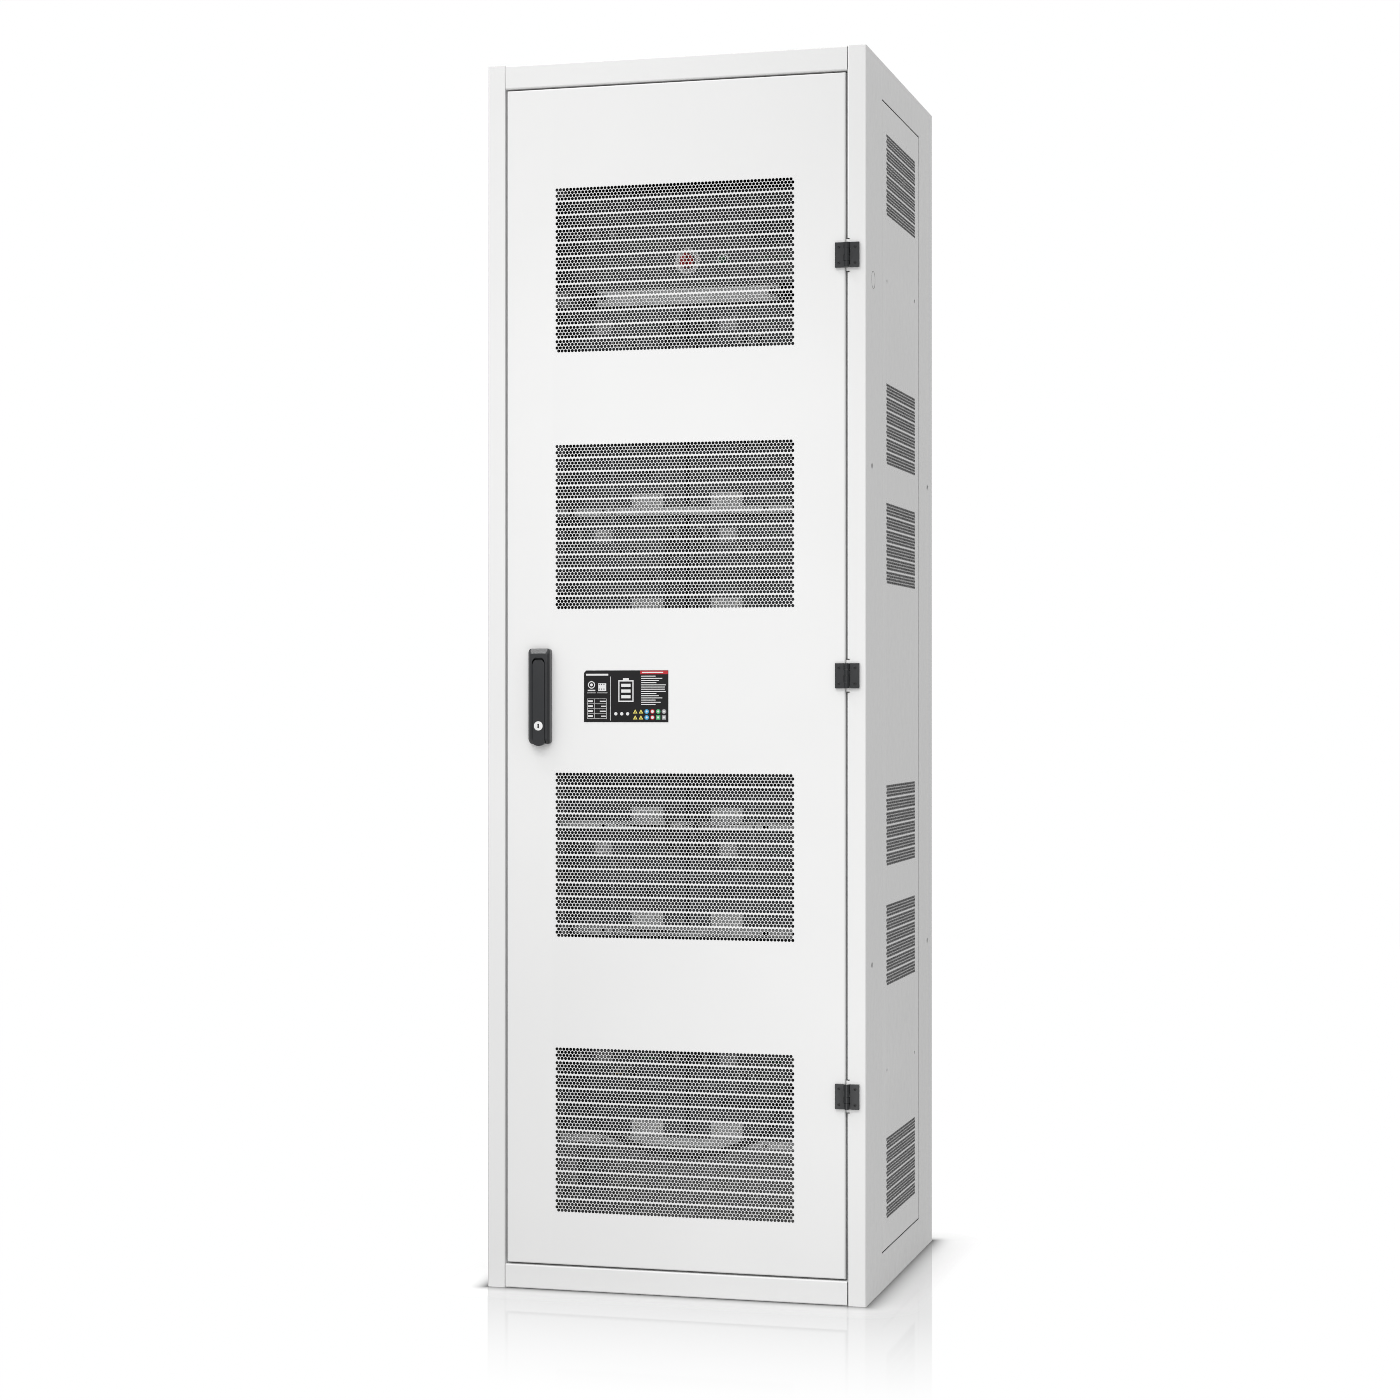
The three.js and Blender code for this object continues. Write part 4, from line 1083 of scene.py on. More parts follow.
def terminal(shape, x, z):
    """A shrouded terminal: an insulating block with a collar round its hole, a washer and a stud."""
    wide, high = TERMINAL["half"]
    rim = TERMINAL["hole"]
    box = (around(x, wide), around(z, high))
    shape.plate(facing, *box, (-TERMINAL["proud"], -1.5), holes=[(x, z, rim)], slot=LID_PART)
    shape.plate(facing, *box, (-1.4, 1.0), slot=LID_PART)
    shape.fitted([(rim + r, h) for r, h in COLLAR_LIP], (x, z), 0.0, 28, COLLAR)
    shape.fitted([(0, -1.5), (6.6, -1.5), (6.6, -2.6), (0, -2.6)], (x, z), 0.0, 24, METAL)
    shape.fitted([(0, -2.6), (4.2, -2.6), (4.2, -5.2), (3.0, -5.6), (0, -5.6)], (x, z), 0.0, 6, METAL)


module_mesh = module_shape(MODULE_SIZE).mesh("module")


def module_place(level, label):
    """The middle of a module's lower front edge."""
    x, y, z = span(f"module_{level}_{label}")
    return middle(x), y[1] - MODULE_SIZE[1], z[0]


FRONT_OF_MODULES = module_place(1, "left")[1]
for level in LEVELS:
    for label, side in SIDES:
        data = module_mesh.copy()
        data.transform(Matrix.Translation(Vector(module_place(level, label)) * MM))
        name = f"module_{level}_{label}"
        piece(f"{name}_assembly", data, "cabinet", MODULE_LOOKS, bevel=0.5, replaces=[name])

TAB_SCREWS = {"x": 69.0, "apart": 18.0, "y": -215.5, "rise": 15.0, "radius": 4.2}
tab_places = []
for level in LEVELS:
    for label, side in SIDES:
        rise = module_place(level, label)[2] + TAB_SCREWS["rise"]
        for offset in mirrored_pair(TAB_SCREWS["apart"]):
            tab_places.append((side * TAB_SCREWS["x"] + offset, TAB_SCREWS["y"], rise))
screws("shelf_screws", tab_places, FORWARD, TAB_SCREWS["radius"])

# ---------------------------------------------------------------- cables

CABLE = {"radius": 5.0, "boot": 7.9, "hang_y": -247.0, "sag": 225.0, "spread": 0.0022}
plug_y = FRONT_OF_MODULES - 3.0  # inside a terminal's hole


def boot(shape, x, z):
    """A moulded boot on a cable's end, inside a terminal's hole, with strain-relief grooves."""
    profile = [(0, plug_y), (CABLE["boot"], plug_y), (CABLE["boot"], plug_y - 8)]
    for k in range(4):
        y = plug_y - 9 - 2.4 * k
        size = CABLE["boot"] - 0.35 * k
        profile += [(size, y), (size, y - 1.3), (size - 1.1, y - 1.5), (size - 1.1, y - 2.2)]
    profile += [(CABLE["radius"] + 0.9, plug_y - 20), (0, plug_y - 20)]
    shape.turned(profile, "y", (x, z), 24)


def terminal_spot(level, label, inner):
    """The (x, z) of a module's inner or outer terminal."""
    x, _, z = module_place(level, label)
    side = 1 if label == "right" else -1
    return x + (-side if inner else side) * TERMINAL["x"], z + TERMINAL["z"]


(x0, z0), (x1, _) = terminal_spot(1, "left", False), terminal_spot(1, "right", False)
link = Shape()
bend = [(x0, plug_y - 12, z0), (x0, plug_y - 22, z0 - 0.6), (x0 + 2, CABLE["hang_y"] + 3, z0 - 22)]
hang = [(x, CABLE["hang_y"], CABLE["sag"] + CABLE["spread"] * x * x) for x in range(-150, 151, 50)]
link.tube(smooth_path(bend + hang + [(-x, y, z) for x, y, z in reversed(bend)]), CABLE["radius"], 18)
for x in (x0, x1):
    boot(link, x, z0)
piece("link_cable_with_boots", link, "cabinet", [RUBBER], bevel=0.2, replaces=["link_cable"])

JUMPER_RADIUS = CABLE["radius"] - 0.6
jumpers = Shape()
for label, side in SIDES:
    for level in list(LEVELS)[:-1]:
        inner = level % 2 == 1
        (x, low), (_, high) = terminal_spot(level, label, inner), terminal_spot(level + 1, label, inner)
        bow = plug_y - 30
        start = [(x, plug_y - 12, low), (x, plug_y - 20, low + 1), (x, bow, low + 20)]
        end = [(x, bow, high - 20), (x, plug_y - 20, high - 1), (x, plug_y - 12, high)]
        jumpers.tube(smooth_path([*start, (x, bow - 3, (low + high) / 2), *end], 6), JUMPER_RADIUS, 16)
        boot(jumpers, x, low)
        boot(jumpers, x, high)
    x, z = terminal_spot(len(LEVELS), label, False)
    entry_z = span("switchgear_case")[2][0] + 14
    path = [(x, plug_y - 12, z), (x, plug_y - 21, z + 1), (x - side * 12, plug_y - 26, z + 22)]
    path += [(x - side * 38, plug_y - 20, entry_z - 2), (x - side * 46, plug_y - 12, entry_z)]
    path.append((x - side * 48, plug_y, entry_z))
    jumpers.tube(smooth_path(path, 6), JUMPER_RADIUS, 16)
    boot(jumpers, x, z)
piece("module_jumpers", jumpers, "cabinet", [RUBBER], bevel=0.2)

LEAD = {"radius": 1.9, "plug": (5.6, 4.2), "reach": 26.0}
SLEEVE = ((0, 0), (3.6, 0), (3.6, -2), (2.9, -2.4), (3.1, -4.4), (2.6, -5), (2.4, -8), (0, -8))
leads = Shape()


def socket_spot(level, label, offset):
    """The (x, z) of a module's left (-1) or right (1) socket."""
    x, _, z = module_place(level, label)
    return x + offset * SOCKET["x"], z + SOCKET["z"]


def lead(start, end, sag):
    """A patch lead with a plug on each end, from one socket to another."""
    front = FRONT_OF_MODULES
    near, out = front - 10, front - LEAD["reach"]
    (xa, za), (xb, zb) = start, end
    path = [(xa, near, za), (xa, out + 6, za - 1)]
    for t, depth, drop in ((0.12, 0, 0.55), (0.5, 2, 1.0), (0.88, 0, 0.55)):
        path.append((lerp(xa, xb, t), out - depth, lerp(za, zb, t) - sag * drop))
    path += [(xb, out + 6, zb - 1), (xb, near, zb)]
    leads.tube(smooth_path(path, 7), LEAD["radius"], 12)
    wide, high = LEAD["plug"]
    for x, z in (start, end):
        leads.block(around(x, wide), (front - 7, front + 4), around(z, high), 1)
        leads.block(around(x, 2), (front - 4, front + 3), (z - high - 1.1, z - high + 0.5), 1)
        leads.fitted(SLEEVE, (x, z), front - 7, 14)


for level in LEVELS:
    lead(socket_spot(level, "left", 1), socket_spot(level, "right", -1), 16)
    if level < len(LEVELS):
        label, outward = ("right", 1) if level % 2 else ("left", -1)
        lead(socket_spot(level, label, outward), socket_spot(level + 1, label, outward), 0)
piece("patch_leads", leads, "cabinet", [LEAD_GREY, LID], bevel=0.3)

# ---------------------------------------------------------------- switchgear and control unit

fascia_x, fascia_y, fascia_z = span("switchgear_fascia")
face_y = fascia_y[0]
knob_x, knob_y, knob_z = span("isolator_knob")
knob_centre = (middle(knob_x), middle(knob_z))
knob_radius = (knob_x[1] - knob_x[0]) / 2
skirt_back = face_y - 0.4

KNOB = {"flutes": 18, "groove": 0.45, "bar": 3.5, "bar_end": 1.5, "step": (0.9, 1.6), "shaft": 4.0}
KNOB_RINGS = ((0.86, 0, 0), (1.0, -0.8, 1), (1.0, -7.2, 1), (0.94, -9.2, 0.6), (0.84, -10, 0))
knob = Shape()
rings = []
for size, y, depth in KNOB_RINGS:  # share of the radius, height and share of the grooves' depth
    ring = []
    for i in range(KNOB["flutes"] * 4):
        groove = KNOB["groove"] * depth * (1 + math.cos(math.pi * i / 2)) / 2
        turn = 90 * i / KNOB["flutes"]
        ring.append(facing(*polar(knob_centre, knob_radius * size - groove, turn), skirt_back + y))
    rings.append(ring)
knob.loft(rings)
half_length, grip_front = knob_radius - KNOB["bar_end"], knob_y[0]
narrower, lower = KNOB["step"]
for shrink, y0, y1 in (
    (0.0, skirt_back - 9.5, grip_front + lower),
    (narrower, grip_front + lower, grip_front),
):
    wide, long = KNOB["bar"] - shrink, half_length - shrink
    low = arc((knob_centre[0], knob_centre[1] - long + wide), wide, 180, 360, 8)
    high = arc((knob_centre[0], knob_centre[1] + long - wide), wide, 0, 180, 8)
    knob.prism(low + high, "y", y0, y1)
mark_x = (knob_centre[0] - 0.8, knob_centre[0] + 0.8)
mark_z = (knob_centre[1] + 2, knob_centre[1] + half_length - 3)
knob.block(mark_x, (grip_front - 0.15, grip_front + 0.3), mark_z, 1)
shaft = KNOB["shaft"]
knob.turned(
    [(0, skirt_back - 1), (shaft, skirt_back - 1), (shaft, fascia_y[1]), (0, fascia_y[1])],
    "y",
    knob_centre,
    20,
)
piece(
    "isolator_knob_moulding",
    knob,
    "knob",
    [RED, INK_WHITE],
    bevel=0.35,
    replaces=["isolator_knob"],
)

button_x, button_y, button_z = span("reset_button")
button_centre = (middle(button_x), middle(button_z))
button_radius = (button_x[1] - button_x[0]) / 2
CAP_STEPS = ((0, 1.4), (0.5, 0.4), (1.5, 0), (2.4, 0.25))  # from the rim and from the front
cap = [(0, button_y[1]), (button_radius - 0.4, button_y[1]), (button_radius, button_y[1] - 0.6)]
cap += [(button_radius - step, button_y[0] + rise) for step, rise in CAP_STEPS]
cap.append((0, button_y[0] + 0.5))
button = Shape().turned(cap, "y", button_centre, 32)
piece("reset_button_cap", button, "button", [GREEN], bevel=0, replaces=["reset_button"])


def framed_window(shape, face, a, b, border, rim, slots, pane=(0.9, 0.1)):
    """A raised frame round a window and the pane in it, each with its own look."""
    outer = [inset(ends, -width) for ends, width in zip((a, b), border)]
    shape.plate(facing, *outer, (face - rim, face + SEAT), [(a, b)], slot=slots[0])
    shape.block(a, (face - pane[0], face + pane[1]), b, slots[1])


# Fittings on the fascia: dial plate and ticks, button bezel, display, lamps, breathing slots, breakers; the
# slots are black strips, painted shade for their openings.
SEAT = 0.1  # a fitting's overlap with the face it stands on
DIAL_LOOK, INK, RING, FRAME, PANE, LAMP_LENS, LABEL, SLIT = range(8)
FITTING_LOOKS = [INK_WHITE, INK_BLACK, CHROME, BLACK, GLASS, GREEN, INK_GREY, SOCKET_BLACK]
DIAL_SECTION = ((13.4, 0.2), (13.4, -0.25), (21.5, -0.25), (21.5, 0.2))
BEZEL_SECTION = ((6.7, 0.2), (6.7, -2.4), (7.6, -3.0), (9.2, -3.0), (10.0, -2.2), (10.0, 0.2))
LAMP_PROFILE = ((2.6, SEAT), (2.6, -1.4), (2.0, -2.4), (1.0, -2.9), (0.0, -3.0))
TICK = {"radii": (16.0, 20.0), "half": 0.35, "end_half": 0.7}
LAMPS = {"x": 120.0, "pitch": 16.5, "z": 1728.0, "count": 5}
LAMP_LABEL = {"half": 5.0, "z": (1717.0, 1719.0)}
VENT_SLITS = {"x": (205.0, 228.0), "z": 1700.0, "pitch": 4.6, "height": 2.2, "count": 14}
BREAKERS = (-190, -160, -130)
BREAKER_STEPS = (  # half width, front, back and z of each step
    (11.0, 5.0, -SEAT, (1736.0, 1800.0), FRAME),
    (8.5, 6.5, 4.5, (1752.0, 1784.0), FRAME),
    (6.0, 6.8, 6.3, (1775.0, 1780.0), LABEL),
)

fittings = Shape()
fittings.hoop(DIAL_SECTION, knob_centre, face_y, 48, DIAL_LOOK)
for angle in range(0, 91, 15):
    near, far = [polar(knob_centre, r, 90 - angle) for r in TICK["radii"]]
    half = TICK["half"] if angle % 90 else TICK["end_half"]
    outline = [polar(p, half, 90 - angle + t) for p, t in ((near, -90), (far, -90), (far, 90), (near, 90))]
    fittings.prism(outline, "y", face_y - 0.38, face_y - SEAT, INK)
fittings.hoop(BEZEL_SECTION, button_centre, face_y, 36, RING)
framed_window(fittings, face_y, (116.0, 190.0), (1752.0, 1796.0), (6, 6), 2.2, (FRAME, PANE))
for i in range(LAMPS["count"]):
    x = LAMPS["x"] + LAMPS["pitch"] * i
    fittings.fitted(LAMP_PROFILE, (x, LAMPS["z"]), face_y, 18, LAMP_LENS)
    label_x = around(x, LAMP_LABEL["half"])
    fittings.block(label_x, (face_y - 0.2, face_y + SEAT), LAMP_LABEL["z"], LABEL)
# Black strips for the breathing slots: painted shade where the openings would be.
for side in (-1, 1):
    slit_x = sorted(side * x for x in VENT_SLITS["x"])
    for i in range(VENT_SLITS["count"]):
        z = VENT_SLITS["z"] + VENT_SLITS["pitch"] * i
        fittings.block(slit_x, (face_y - 0.35, face_y + 0.05), (z, z + VENT_SLITS["height"]), SLIT)
for x in BREAKERS:
    for half, front, back, z, look in BREAKER_STEPS:
        fittings.block(around(x, half), (face_y - front, face_y - back), z, look)
piece("switchgear_fittings", fittings, "cabinet", FITTING_LOOKS, bevel=0.2)

UNIT_SCREWS = {"x": 262.0, "z": 14.0, "radius": 4.5}
FASCIA_SCREWS = {"inset": 8.0, "radius": 3.0}
case_z = span("switchgear_case")[2]
_, control_y, control_z = span("control_unit")
control_face = control_y[0]
unit_places = [
    (x, control_face, z)
    for ends in (case_z, control_z)
    for x in mirrored_pair(UNIT_SCREWS["x"])
    for z in inset(ends, UNIT_SCREWS["z"])
]
screws("unit_screws", unit_places, FORWARD, UNIT_SCREWS["radius"])
fascia_places = [
    (x, face_y, z)
    for x in inset(fascia_x, FASCIA_SCREWS["inset"])
    for z in inset(fascia_z, FASCIA_SCREWS["inset"])
]
screws("fascia_screws", fascia_places, FORWARD, FASCIA_SCREWS["radius"], material=BLACK_ZINC)

# Fittings on the control unit: network sockets with lamps, a terminal strip, a display and four keys.
SHELL, PIN, STRIP, PORT_PANE, KEY, WELL = range(6)
PORT_LOOKS = [BLACK, CONTACT, GREEN, GLASS, RUBBER, SOCKET_BLACK]
PORTS = {"x": -176.0, "pitch": 24.0, "z": 1918.0, "half": (7.0, 5.5), "count": 8}
PORT_LAMP = ((1.3, -4.0), (1.3, -4.4), (0.6, -4.8), (0, -4.9))
CLAMPS = {"x": -180.0, "pitch": 9.5, "half": 4.3, "z": (1876.0, 1892.0), "count": 12}
CLAMP_HOLE = {"half": 2.4, "z": (1878.5, 1883.5), "screw_z": 1888.0}
CLAMP_SCREW = ((0, -8.9), (2.2, -8.9), (2.2, -9.5), (1.7, -9.9), (0, -9.9))
KEYS = {"x": 146.0, "z": 1896.0, "pitch": (17.0, 20.0)}
KEY_PROFILE = ((0, SEAT), (6.0, SEAT), (6.0, -1.6), (5.2, -2.6), (0, -2.9))

ports = Shape()
for i in range(PORTS["count"]):
    x, z = PORTS["x"] + PORTS["pitch"] * i, PORTS["z"]
    a, b = [around(*pair) for pair in zip((x, z), PORTS["half"])]
    framed_window(ports, control_face, a, b, (2.5, 3.0), 4.0, (SHELL, WELL), pane=(0.8, 0.05))
    for k in range(8):
        pin = x + lerp(-4.4, 4.4, k / 7)
        pin_x, pin_y = around(pin, 0.3), (control_face - 3.2, control_face - 0.7)
        ports.block(pin_x, pin_y, (z + 1.5, z + 4.2), PIN)
    for side in (-1, 1):
        ports.fitted(PORT_LAMP, (x + side * 6, z + 7), control_face, 10, STRIP)
for i in range(CLAMPS["count"]):
    x = CLAMPS["x"] + CLAMPS["pitch"] * i
    body = (around(x, CLAMPS["half"]), (control_face - 9, control_face + SEAT), CLAMPS["z"])
    # The clamps' wire entries are black blocks: painted shade where the holes would be.
    entry = (around(x, CLAMP_HOLE["half"]), (control_face - 9.4, control_face - 8.6))
    ports.block(*body, STRIP)
    ports.block(*entry, CLAMP_HOLE["z"], WELL)
    ports.fitted(CLAMP_SCREW, (x, CLAMP_HOLE["screw_z"]), control_face, 14, PIN)
framed_window(ports, control_face, (52.0, 122.0), (1880.0, 1932.0), (6, 6), 2.4, (SHELL, PORT_PANE))
for i in range(4):
    place = (KEYS["x"] + KEYS["pitch"][0] * (i % 2), KEYS["z"] + KEYS["pitch"][1] * (i // 2))
    ports.fitted(KEY_PROFILE, place, control_face, 24, KEY)
piece("control_fittings", ports, "cabinet", PORT_LOOKS, bevel=0.2)

# ---------------------------------------------------------------- handle

housing_x, housing_y, housing_z = span("handle_housing")
lever_x, lever_y, lever_z = span("handle_lever")
HANDLE_X = middle(housing_x)
CHANNEL = {"half": 11.3, "floor": -303.3, "top": 1057.3, "corner": 5.0, "lip": 0.8, "mouth_rise": 2.7}
PIVOT = {"y": -311.0, "z": 1049.0, "radius": 7.5}
TOP_SLOPE = (6.5, 8.5)  # depth and height of the slopes at the housing's ends
FOOT_SLOPE = (9.0, 8.0)
SIDE_CHAMFER = (4.5, 3.5)  # depth and width
CORNER = 5.0
housing_front, housing_back = housing_y


def housing_ring(y):
    """The housing's outline at a depth."""

    def cut_back(slope):
        return slope[1] * max(0.0, 1 - (y - housing_front) / slope[0])

    chamfer = cut_back(SIDE_CHAMFER)
    wide = inset(housing_x, chamfer)
    high = (housing_z[0] + cut_back(FOOT_SLOPE), housing_z[1] - cut_back(TOP_SLOPE))
    return [facing(*p, y) for p in round_rect(wide, high, CORNER - 0.5 * chamfer, 5)]


depths = [housing_back, *[housing_front + slope[0] for slope in (FOOT_SLOPE, TOP_SLOPE, SIDE_CHAMFER)]]
housing = Shape().loft([housing_ring(y) for y in (*depths, housing_front)])
channel_x = around(HANDLE_X, CHANNEL["half"])
below = housing_z[0] - 20
lip_back = housing_front + CHANNEL["lip"]
pocket_outline = round_rect(channel_x, (below, CHANNEL["top"]), CHANNEL["corner"])
pocket = Shape().prism(pocket_outline, "y", lip_back, CHANNEL["floor"])
arch_centre = (HANDLE_X, CHANNEL["top"] - CHANNEL["half"] + CHANNEL["mouth_rise"])
arch = [(channel_x[0], below), (channel_x[1], below), *arc(arch_centre, CHANNEL["half"], 0, 180, 20)]
mouth = Shape().prism(arch, "y", housing_front - 1, lip_back + 0.05)
piece(
    "handle_housing_moulding",
    carved("housing", housing, ("DIFFERENCE", pocket), ("DIFFERENCE", mouth)),
    "door",
    [HANDLE_BLACK],
    bevel=0.45,
    segments=3,
    replaces=["handle_housing"],
)

# The lever's back is round about its pivot, so that it turns in the channel.
LEVER = {"shoulder": 4.5, "plug_hole": 7.8, "hole_back": -305.5, "heel": (5.0, 14.0)}
half = (lever_x[1] - lever_x[0]) / 2
tip = lever_z[0]
lever_front, lever_back = lever_y
ends = [math.degrees(math.acos((y - PIVOT["y"]) / PIVOT["radius"])) for y in (lever_back, lever_front)]
side_view = [(lever_front, tip), (lever_back - LEVER["heel"][0], tip), (lever_back, tip + LEVER["heel"][1])]
side_view += arc((PIVOT["y"], PIVOT["z"]), PIVOT["radius"], *ends, 14)
front_view = []
for k in range(13):
    t = k / 12
    bulge = 4 * LEVER["shoulder"] * t * (1 - t)
    front_view.append((HANDLE_X + lerp(-half, half, t), tip + LEVER["shoulder"] - bulge))
front_view += arc((HANDLE_X, PIVOT["z"] + PIVOT["radius"] - half), half, 0, 180, 20)
plug_x, plug_depth, plug_z = span("lock_plug")
plug_centre = (middle(plug_x), middle(plug_z))
hole = arc(plug_centre, LEVER["plug_hole"], 0, 360, 36)[:-1]
lever_mesh = carved(
    "lever",
    Shape().prism(front_view, "y", lever_front - 1, lever_back + 0.5),
    ("INTERSECT", Shape().prism(side_view, "x", HANDLE_X - half - 2, HANDLE_X + half + 2)),
    ("DIFFERENCE", Shape().prism(hole, "y", lever_front - 3, LEVER["hole_back"])),
)
piece(
    "handle_lever_moulding",
    lever_mesh,
    "lever",
    [HANDLE_BLACK],
    bevel=0.9,
    segments=3,
    replaces=["handle_lever"],
)

# The keyhole is a black insert on the plug's face: painted shade where the hole would be.
KEYHOLE = {"offset": 1.8, "radius": 1.7, "bar": (0.75, 3.4), "depth": 0.6}
plug_face = plug_depth[0]
keyhole = Shape()
for offset in (KEYHOLE["offset"], -KEYHOLE["offset"]):
    radius, inside = KEYHOLE["radius"], KEYHOLE["depth"]
    eye = [(0, inside), (radius, inside), (radius, -0.06), (0, -0.06)]
    keyhole.fitted(eye, (plug_centre[0], plug_centre[1] + offset), plug_face, 20)
bar_x, bar_z = [around(*pair) for pair in zip(plug_centre, KEYHOLE["bar"])]
keyhole.block(bar_x, (plug_face - 0.05, plug_face + KEYHOLE["depth"]), bar_z)
piece("keyhole_shade", keyhole, "plug", [SOCKET_BLACK], bevel=0)

# ---------------------------------------------------------------- CAD nodes that stay

KEPT = {  # material and edge radius of each node
    "gland_plate": (GALVANISED, 0.4),
    "rear_panel": (WHITE, 0.5),
    "switchgear_case": (INNER, 0.4),
    "switchgear_fascia": (DARK, 0.5),
    "control_unit": (DARK, 0.4),
    "door_gasket": (FOAM, 1.2),
    "rating_plate": (INK_BLACK, 0.1),
    "lock_plug": (BRIGHT_NICKEL, 0.3),
}
for name in ("side_frame_right", "side_frame_left", "roof", "base"):
    KEPT[name] = (WHITE, 0.0)  # folded sheet, with its bends in the CAD
for name in ("ladder_right", "ladder_left"):
    KEPT[name] = (GALVANISED, 0.4)
for name in ("rod_guide_upper", "rod_guide_lower", "lock_cam", "lock_rod_upper", "lock_rod_lower"):
    KEPT[name] = (ZINC, 0.4)
for level in LEVELS:
    KEPT[f"shelf_{level}"] = (INNER, 0.3)
for level in HINGE_LEVELS:
    KEPT[f"hinge_{level}_frame_leaf"] = (BLACK, 0.3)
    KEPT[f"hinge_{level}_door_leaf"] = (BLACK, 0.3)
    KEPT[f"hinge_{level}_pin"] = (ZINC, 0.3)

CLAMPED = ["control_unit"]

for name, (material, width) in KEPT.items():
    node = nodes_of[name]
    data = node.data
    data.materials.clear()
    data.materials.append(material)
    custom = data.attributes.get("custom_normal")
    if custom:
        data.attributes.remove(custom)
    smooth(data)
    weld = node.modifiers.new("Weld", "WELD")
    weld.merge_threshold = 1e-6
    merge = node.modifiers.new("Merge", "DECIMATE")
    merge.decimate_type = "DISSOLVE"
    merge.angle_limit = math.radians(0.5)
    if width:
        bevelled(node, width, clamp=name in CLAMPED)
    face_weighted(node)

# ---------------------------------------------------------------- stage, light and camera

scene = bpy.context.scene
scene.view_settings.view_transform = "Standard"
scene.view_settings.look = "None"
scene.cycles.use_denoising = False
scene.cycles.filter_width = 0.9
scene.cycles.max_bounces = 8
scene.cycles.diffuse_bounces = 4
scene.cycles.glossy_bounces = 4

# The floor is plain white. Close to the cabinet it keeps a thin contact shadow, rendered and also painted
# as a dark band in its colour at the casing's foot, and it mirrors the cabinet faintly where a mirrored
# sight line meets the casing's box, less with the distance.
FLOOR = {"seen": 0.93, "bounce": 0.5, "shadow": 0.09, "reach": 7000.0}
MIRROR = {"share": 0.40, "reach": 0.68, "tone": 0.6, "rough": (0.035, 0.05)}
PAINTED_CONTACT_SHADOW = {"tone": 0.12, "reach": 0.045}
feet = [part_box("side_frame_left")[0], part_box("side_frame_right")[1]]  # opposite corners of the casing
floor_look = Look("pale floor")
calc, calc_vector = floor_look.math, floor_look.vector


def grey(tone):
    return (tone,) * 3


def split(vector):
    return floor_look.new("ShaderNodeSeparateXYZ", Vector=vector).outputs


geometry = floor_look.new("ShaderNodeNewGeometry").outputs
to_camera = floor_look.new("ShaderNodeLightPath").outputs["Is Camera Ray"]
axes = split(floor_look.coords)
beside = [
    calc("MAXIMUM", calc("SUBTRACT", calc("ABSOLUTE", axis), half), 0.0)
    for axis, half in ((axes[0], feet[1].x), (axes[1], feet[1].y))
]
away = calc("POWER", calc("ADD", *[calc("POWER", distance, 2.0) for distance in beside]), 0.5)

sight = calc_vector("MULTIPLY", geometry["Incoming"], (-1.0, -1.0, 1.0))
to_corners = [calc_vector("SUBTRACT", tuple(corner), geometry["Position"]) for corner in feet]
to_faces = [calc_vector("DIVIDE", offset, sight) for offset in to_corners]
enter, leave = [split(calc_vector(operation, *to_faces)) for operation in ("MINIMUM", "MAXIMUM")]
last_in = calc("MAXIMUM", calc("MAXIMUM", enter[0], enter[1]), enter[2])
first_out = calc("MINIMUM", calc("MINIMUM", leave[0], leave[1]), leave[2])
meets = calc("GREATER_THAN", first_out, calc("MAXIMUM", last_in, 0.0))
nearness = calc("POWER", floor_look.spread(away, 1.0, 0.0, 0.0, MIRROR["reach"]), 1.5)
share = calc("MULTIPLY", meets, calc("MULTIPLY", nearness, MIRROR["share"]))

# A dark band painted into the floor's colour at the casing's foot: a painted contact shadow.
painted_contact_shadow_mask = calc("POWER", floor_look.spread(away, 1.0, 0.0, 0.0, PAINTED_CONTACT_SHADOW["reach"]), 2.0)
floor_tone_with_painted_shadow = floor_look.mix(painted_contact_shadow_mask, grey(FLOOR["seen"]), grey(PAINTED_CONTACT_SHADOW["tone"]))
floor_look.set(
    Base_Color=floor_look.mix(to_camera, grey(FLOOR["bounce"]), floor_tone_with_painted_shadow),
    Roughness=0.6,
    Specular_IOR_Level=0.0,
    Normal=floor_look.bump(floor_look.noise(220.0, 2.0), 0.02, 0.0001),
)
white = floor_look.new("ShaderNodeEmission", Strength=floor_look.spread(to_camera, FLOOR["bounce"], 1.0))
gloss = floor_look.spread(floor_look.noise(30.0), *MIRROR["rough"])
mirror = floor_look.new("ShaderNodeBsdfAnisotropic", Color=(*grey(MIRROR["tone"]), 1), Roughness=gloss)
beyond = floor_look.spread(away, 0.0, 1.0, 0.0, FLOOR["shadow"])
plain = floor_look.joined("ShaderNodeMixShader", beyond, floor_look.shader.outputs[0], white.outputs[0])
both = floor_look.joined("ShaderNodeMixShader", share, plain, mirror.outputs[0])
floor_look.feed(floor_look.tree.nodes["Material Output"], 0, both)
corners = round_rect(mirrored_pair(FLOOR["reach"]), mirrored_pair(FLOOR["reach"]), 0.0, 1)[::2]
floor_shape = Shape().add([(x, y, 0.0) for x, y in corners], [range(4)])
floor_object = bpy.data.objects.new("floor", floor_shape.mesh("floor"))
floor_object.data.materials.append(floor_look.material)
scene.collection.objects.link(floor_object)

world = bpy.data.worlds.new("studio")
scene.world = world
world.use_nodes = True
world.cycles.sampling_method = "NONE"
studio = Graph(world.node_tree)

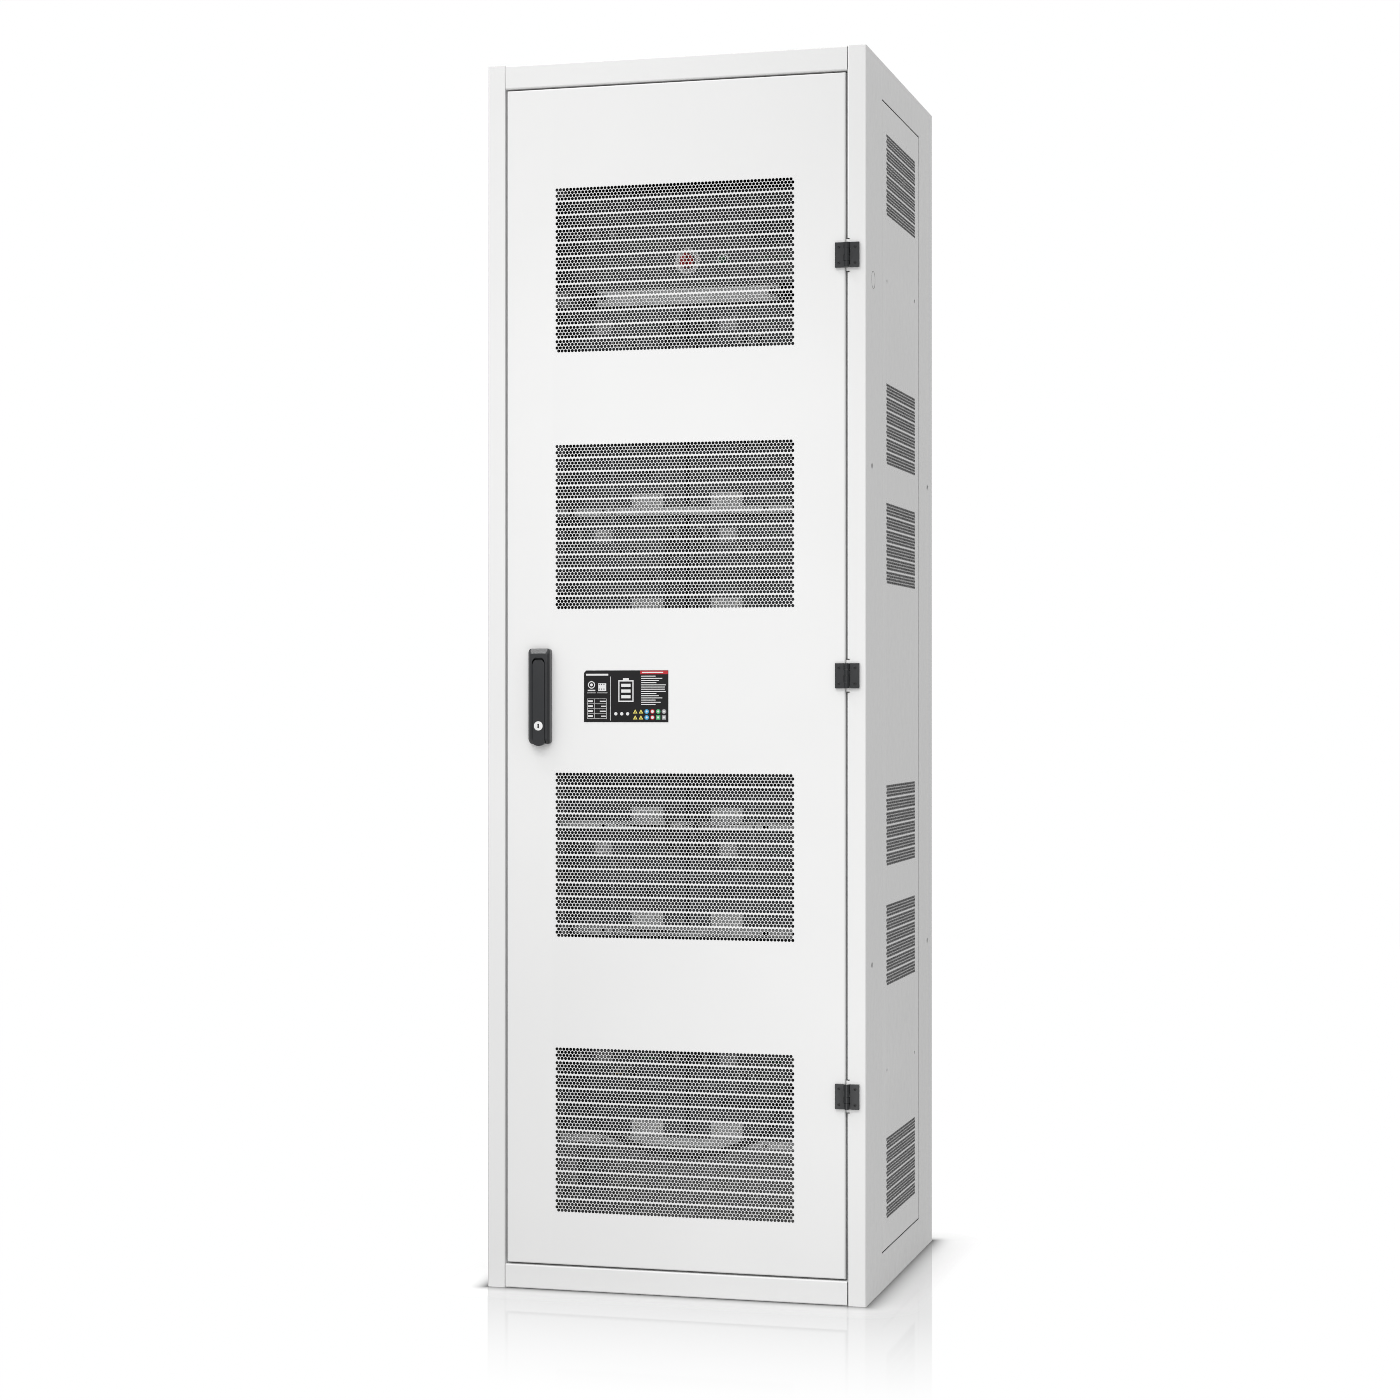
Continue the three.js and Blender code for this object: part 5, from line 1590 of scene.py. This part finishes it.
# The studio is bright overhead and in front, and dimmer on the right; the camera sees plain white.
STUDIO = {"base": 0.39, "front": 0.20, "back": 0.32, "top": 1.08, "left": 0.20}
toward = studio.new("ShaderNodeTexCoord").outputs["Generated"]
dx, dy, dz = studio.new("ShaderNodeSeparateXYZ", Vector=toward).outputs
level = STUDIO["base"]
for name, axis, sign in (("front", dy, -1.0), ("back", dy, 1.0), ("top", dz, 1.0), ("left", dx, -1.0)):
    facing_it = studio.math("MAXIMUM", studio.math("MULTIPLY", axis, sign), 0.0)
    level = studio.math("ADD", studio.math("MULTIPLY", facing_it, STUDIO[name]), level)
lit = studio.new("ShaderNodeBackground", Strength=level).outputs[0]
seen = studio.tree.nodes["Background"]
studio.feed(seen, "Color", (1, 1, 1, 1))
studio.feed(seen, "Strength", 1.0)
sees = studio.new("ShaderNodeLightPath").outputs["Is Camera Ray"]
either = studio.joined("ShaderNodeMixShader", sees, lit, seen.outputs[0])
studio.feed(studio.tree.nodes["World Output"], 0, either)


def soft_light(name, place, target, size, power):
    data = bpy.data.lights.new(name, "AREA")
    data.shape = "RECTANGLE"
    data.size, data.size_y = size
    data.energy = power
    obj = bpy.data.objects.new(name, data)
    obj.location = place
    obj.visible_camera = False
    obj.rotation_euler = (Vector(target) - Vector(place)).to_track_quat("-Z", "Y").to_euler()
    scene.collection.objects.link(obj)


soft_light("key", (-0.3, -4.2, 5.3), (0, -0.3, 1.1), (5.6, 0.45), 69)
soft_light("fill", (-0.1, -1.3, 1.45), (-0.05, -0.3, 1.45), (0.8, 0.8), 2.6)
soft_light("low fill", (0.3, -1.3, 0.4), (0.13, -0.3, 0.4), (0.8, 0.8), 3.0)
soft_light("overhead", (-1.19, -1.09, 3.91), (-0.23, -0.31, 1.07), (0.7, 0.7), 16)

CAMERA = {"lens": 74.23, "place": (1.2688, -4.9101, 0.988), "turn": 14.864}
camera_data = bpy.data.cameras.new("camera")
camera_data.lens = CAMERA["lens"]
camera_data.sensor_width = 36.0
camera = bpy.data.objects.new("camera", camera_data)
camera.location = CAMERA["place"]
camera.rotation_euler = (math.radians(90), 0, math.radians(CAMERA["turn"]))
scene.collection.objects.link(camera)
scene.camera = camera

# A denoised picture, but the vents keep their own samples, so that every hole stays open.
layer = scene.view_layers[0]
layer.use_pass_normal = True
layer.use_pass_diffuse_color = True
vent_pass = layer.aovs.add()
vent_pass.name = VENT_PASS
vent_pass.type = "VALUE"
scene.use_nodes = True
scene.node_tree.nodes.clear()
post = Graph(scene.node_tree)
rendered = post.new("CompositorNodeRLayers").outputs
clean = post.new(
    "CompositorNodeDenoise",
    Image=rendered["Image"],
    Normal=rendered["Normal"],
    Albedo=rendered["DiffCol"],
)
grown = post.new("CompositorNodeDilateErode", Mask=rendered[VENT_PASS])
grown.distance = 3
choice = post.joined("CompositorNodeMixRGB", grown.outputs[0], clean.outputs[0], rendered["Image"])
post.new("CompositorNodeComposite", Image=choice)
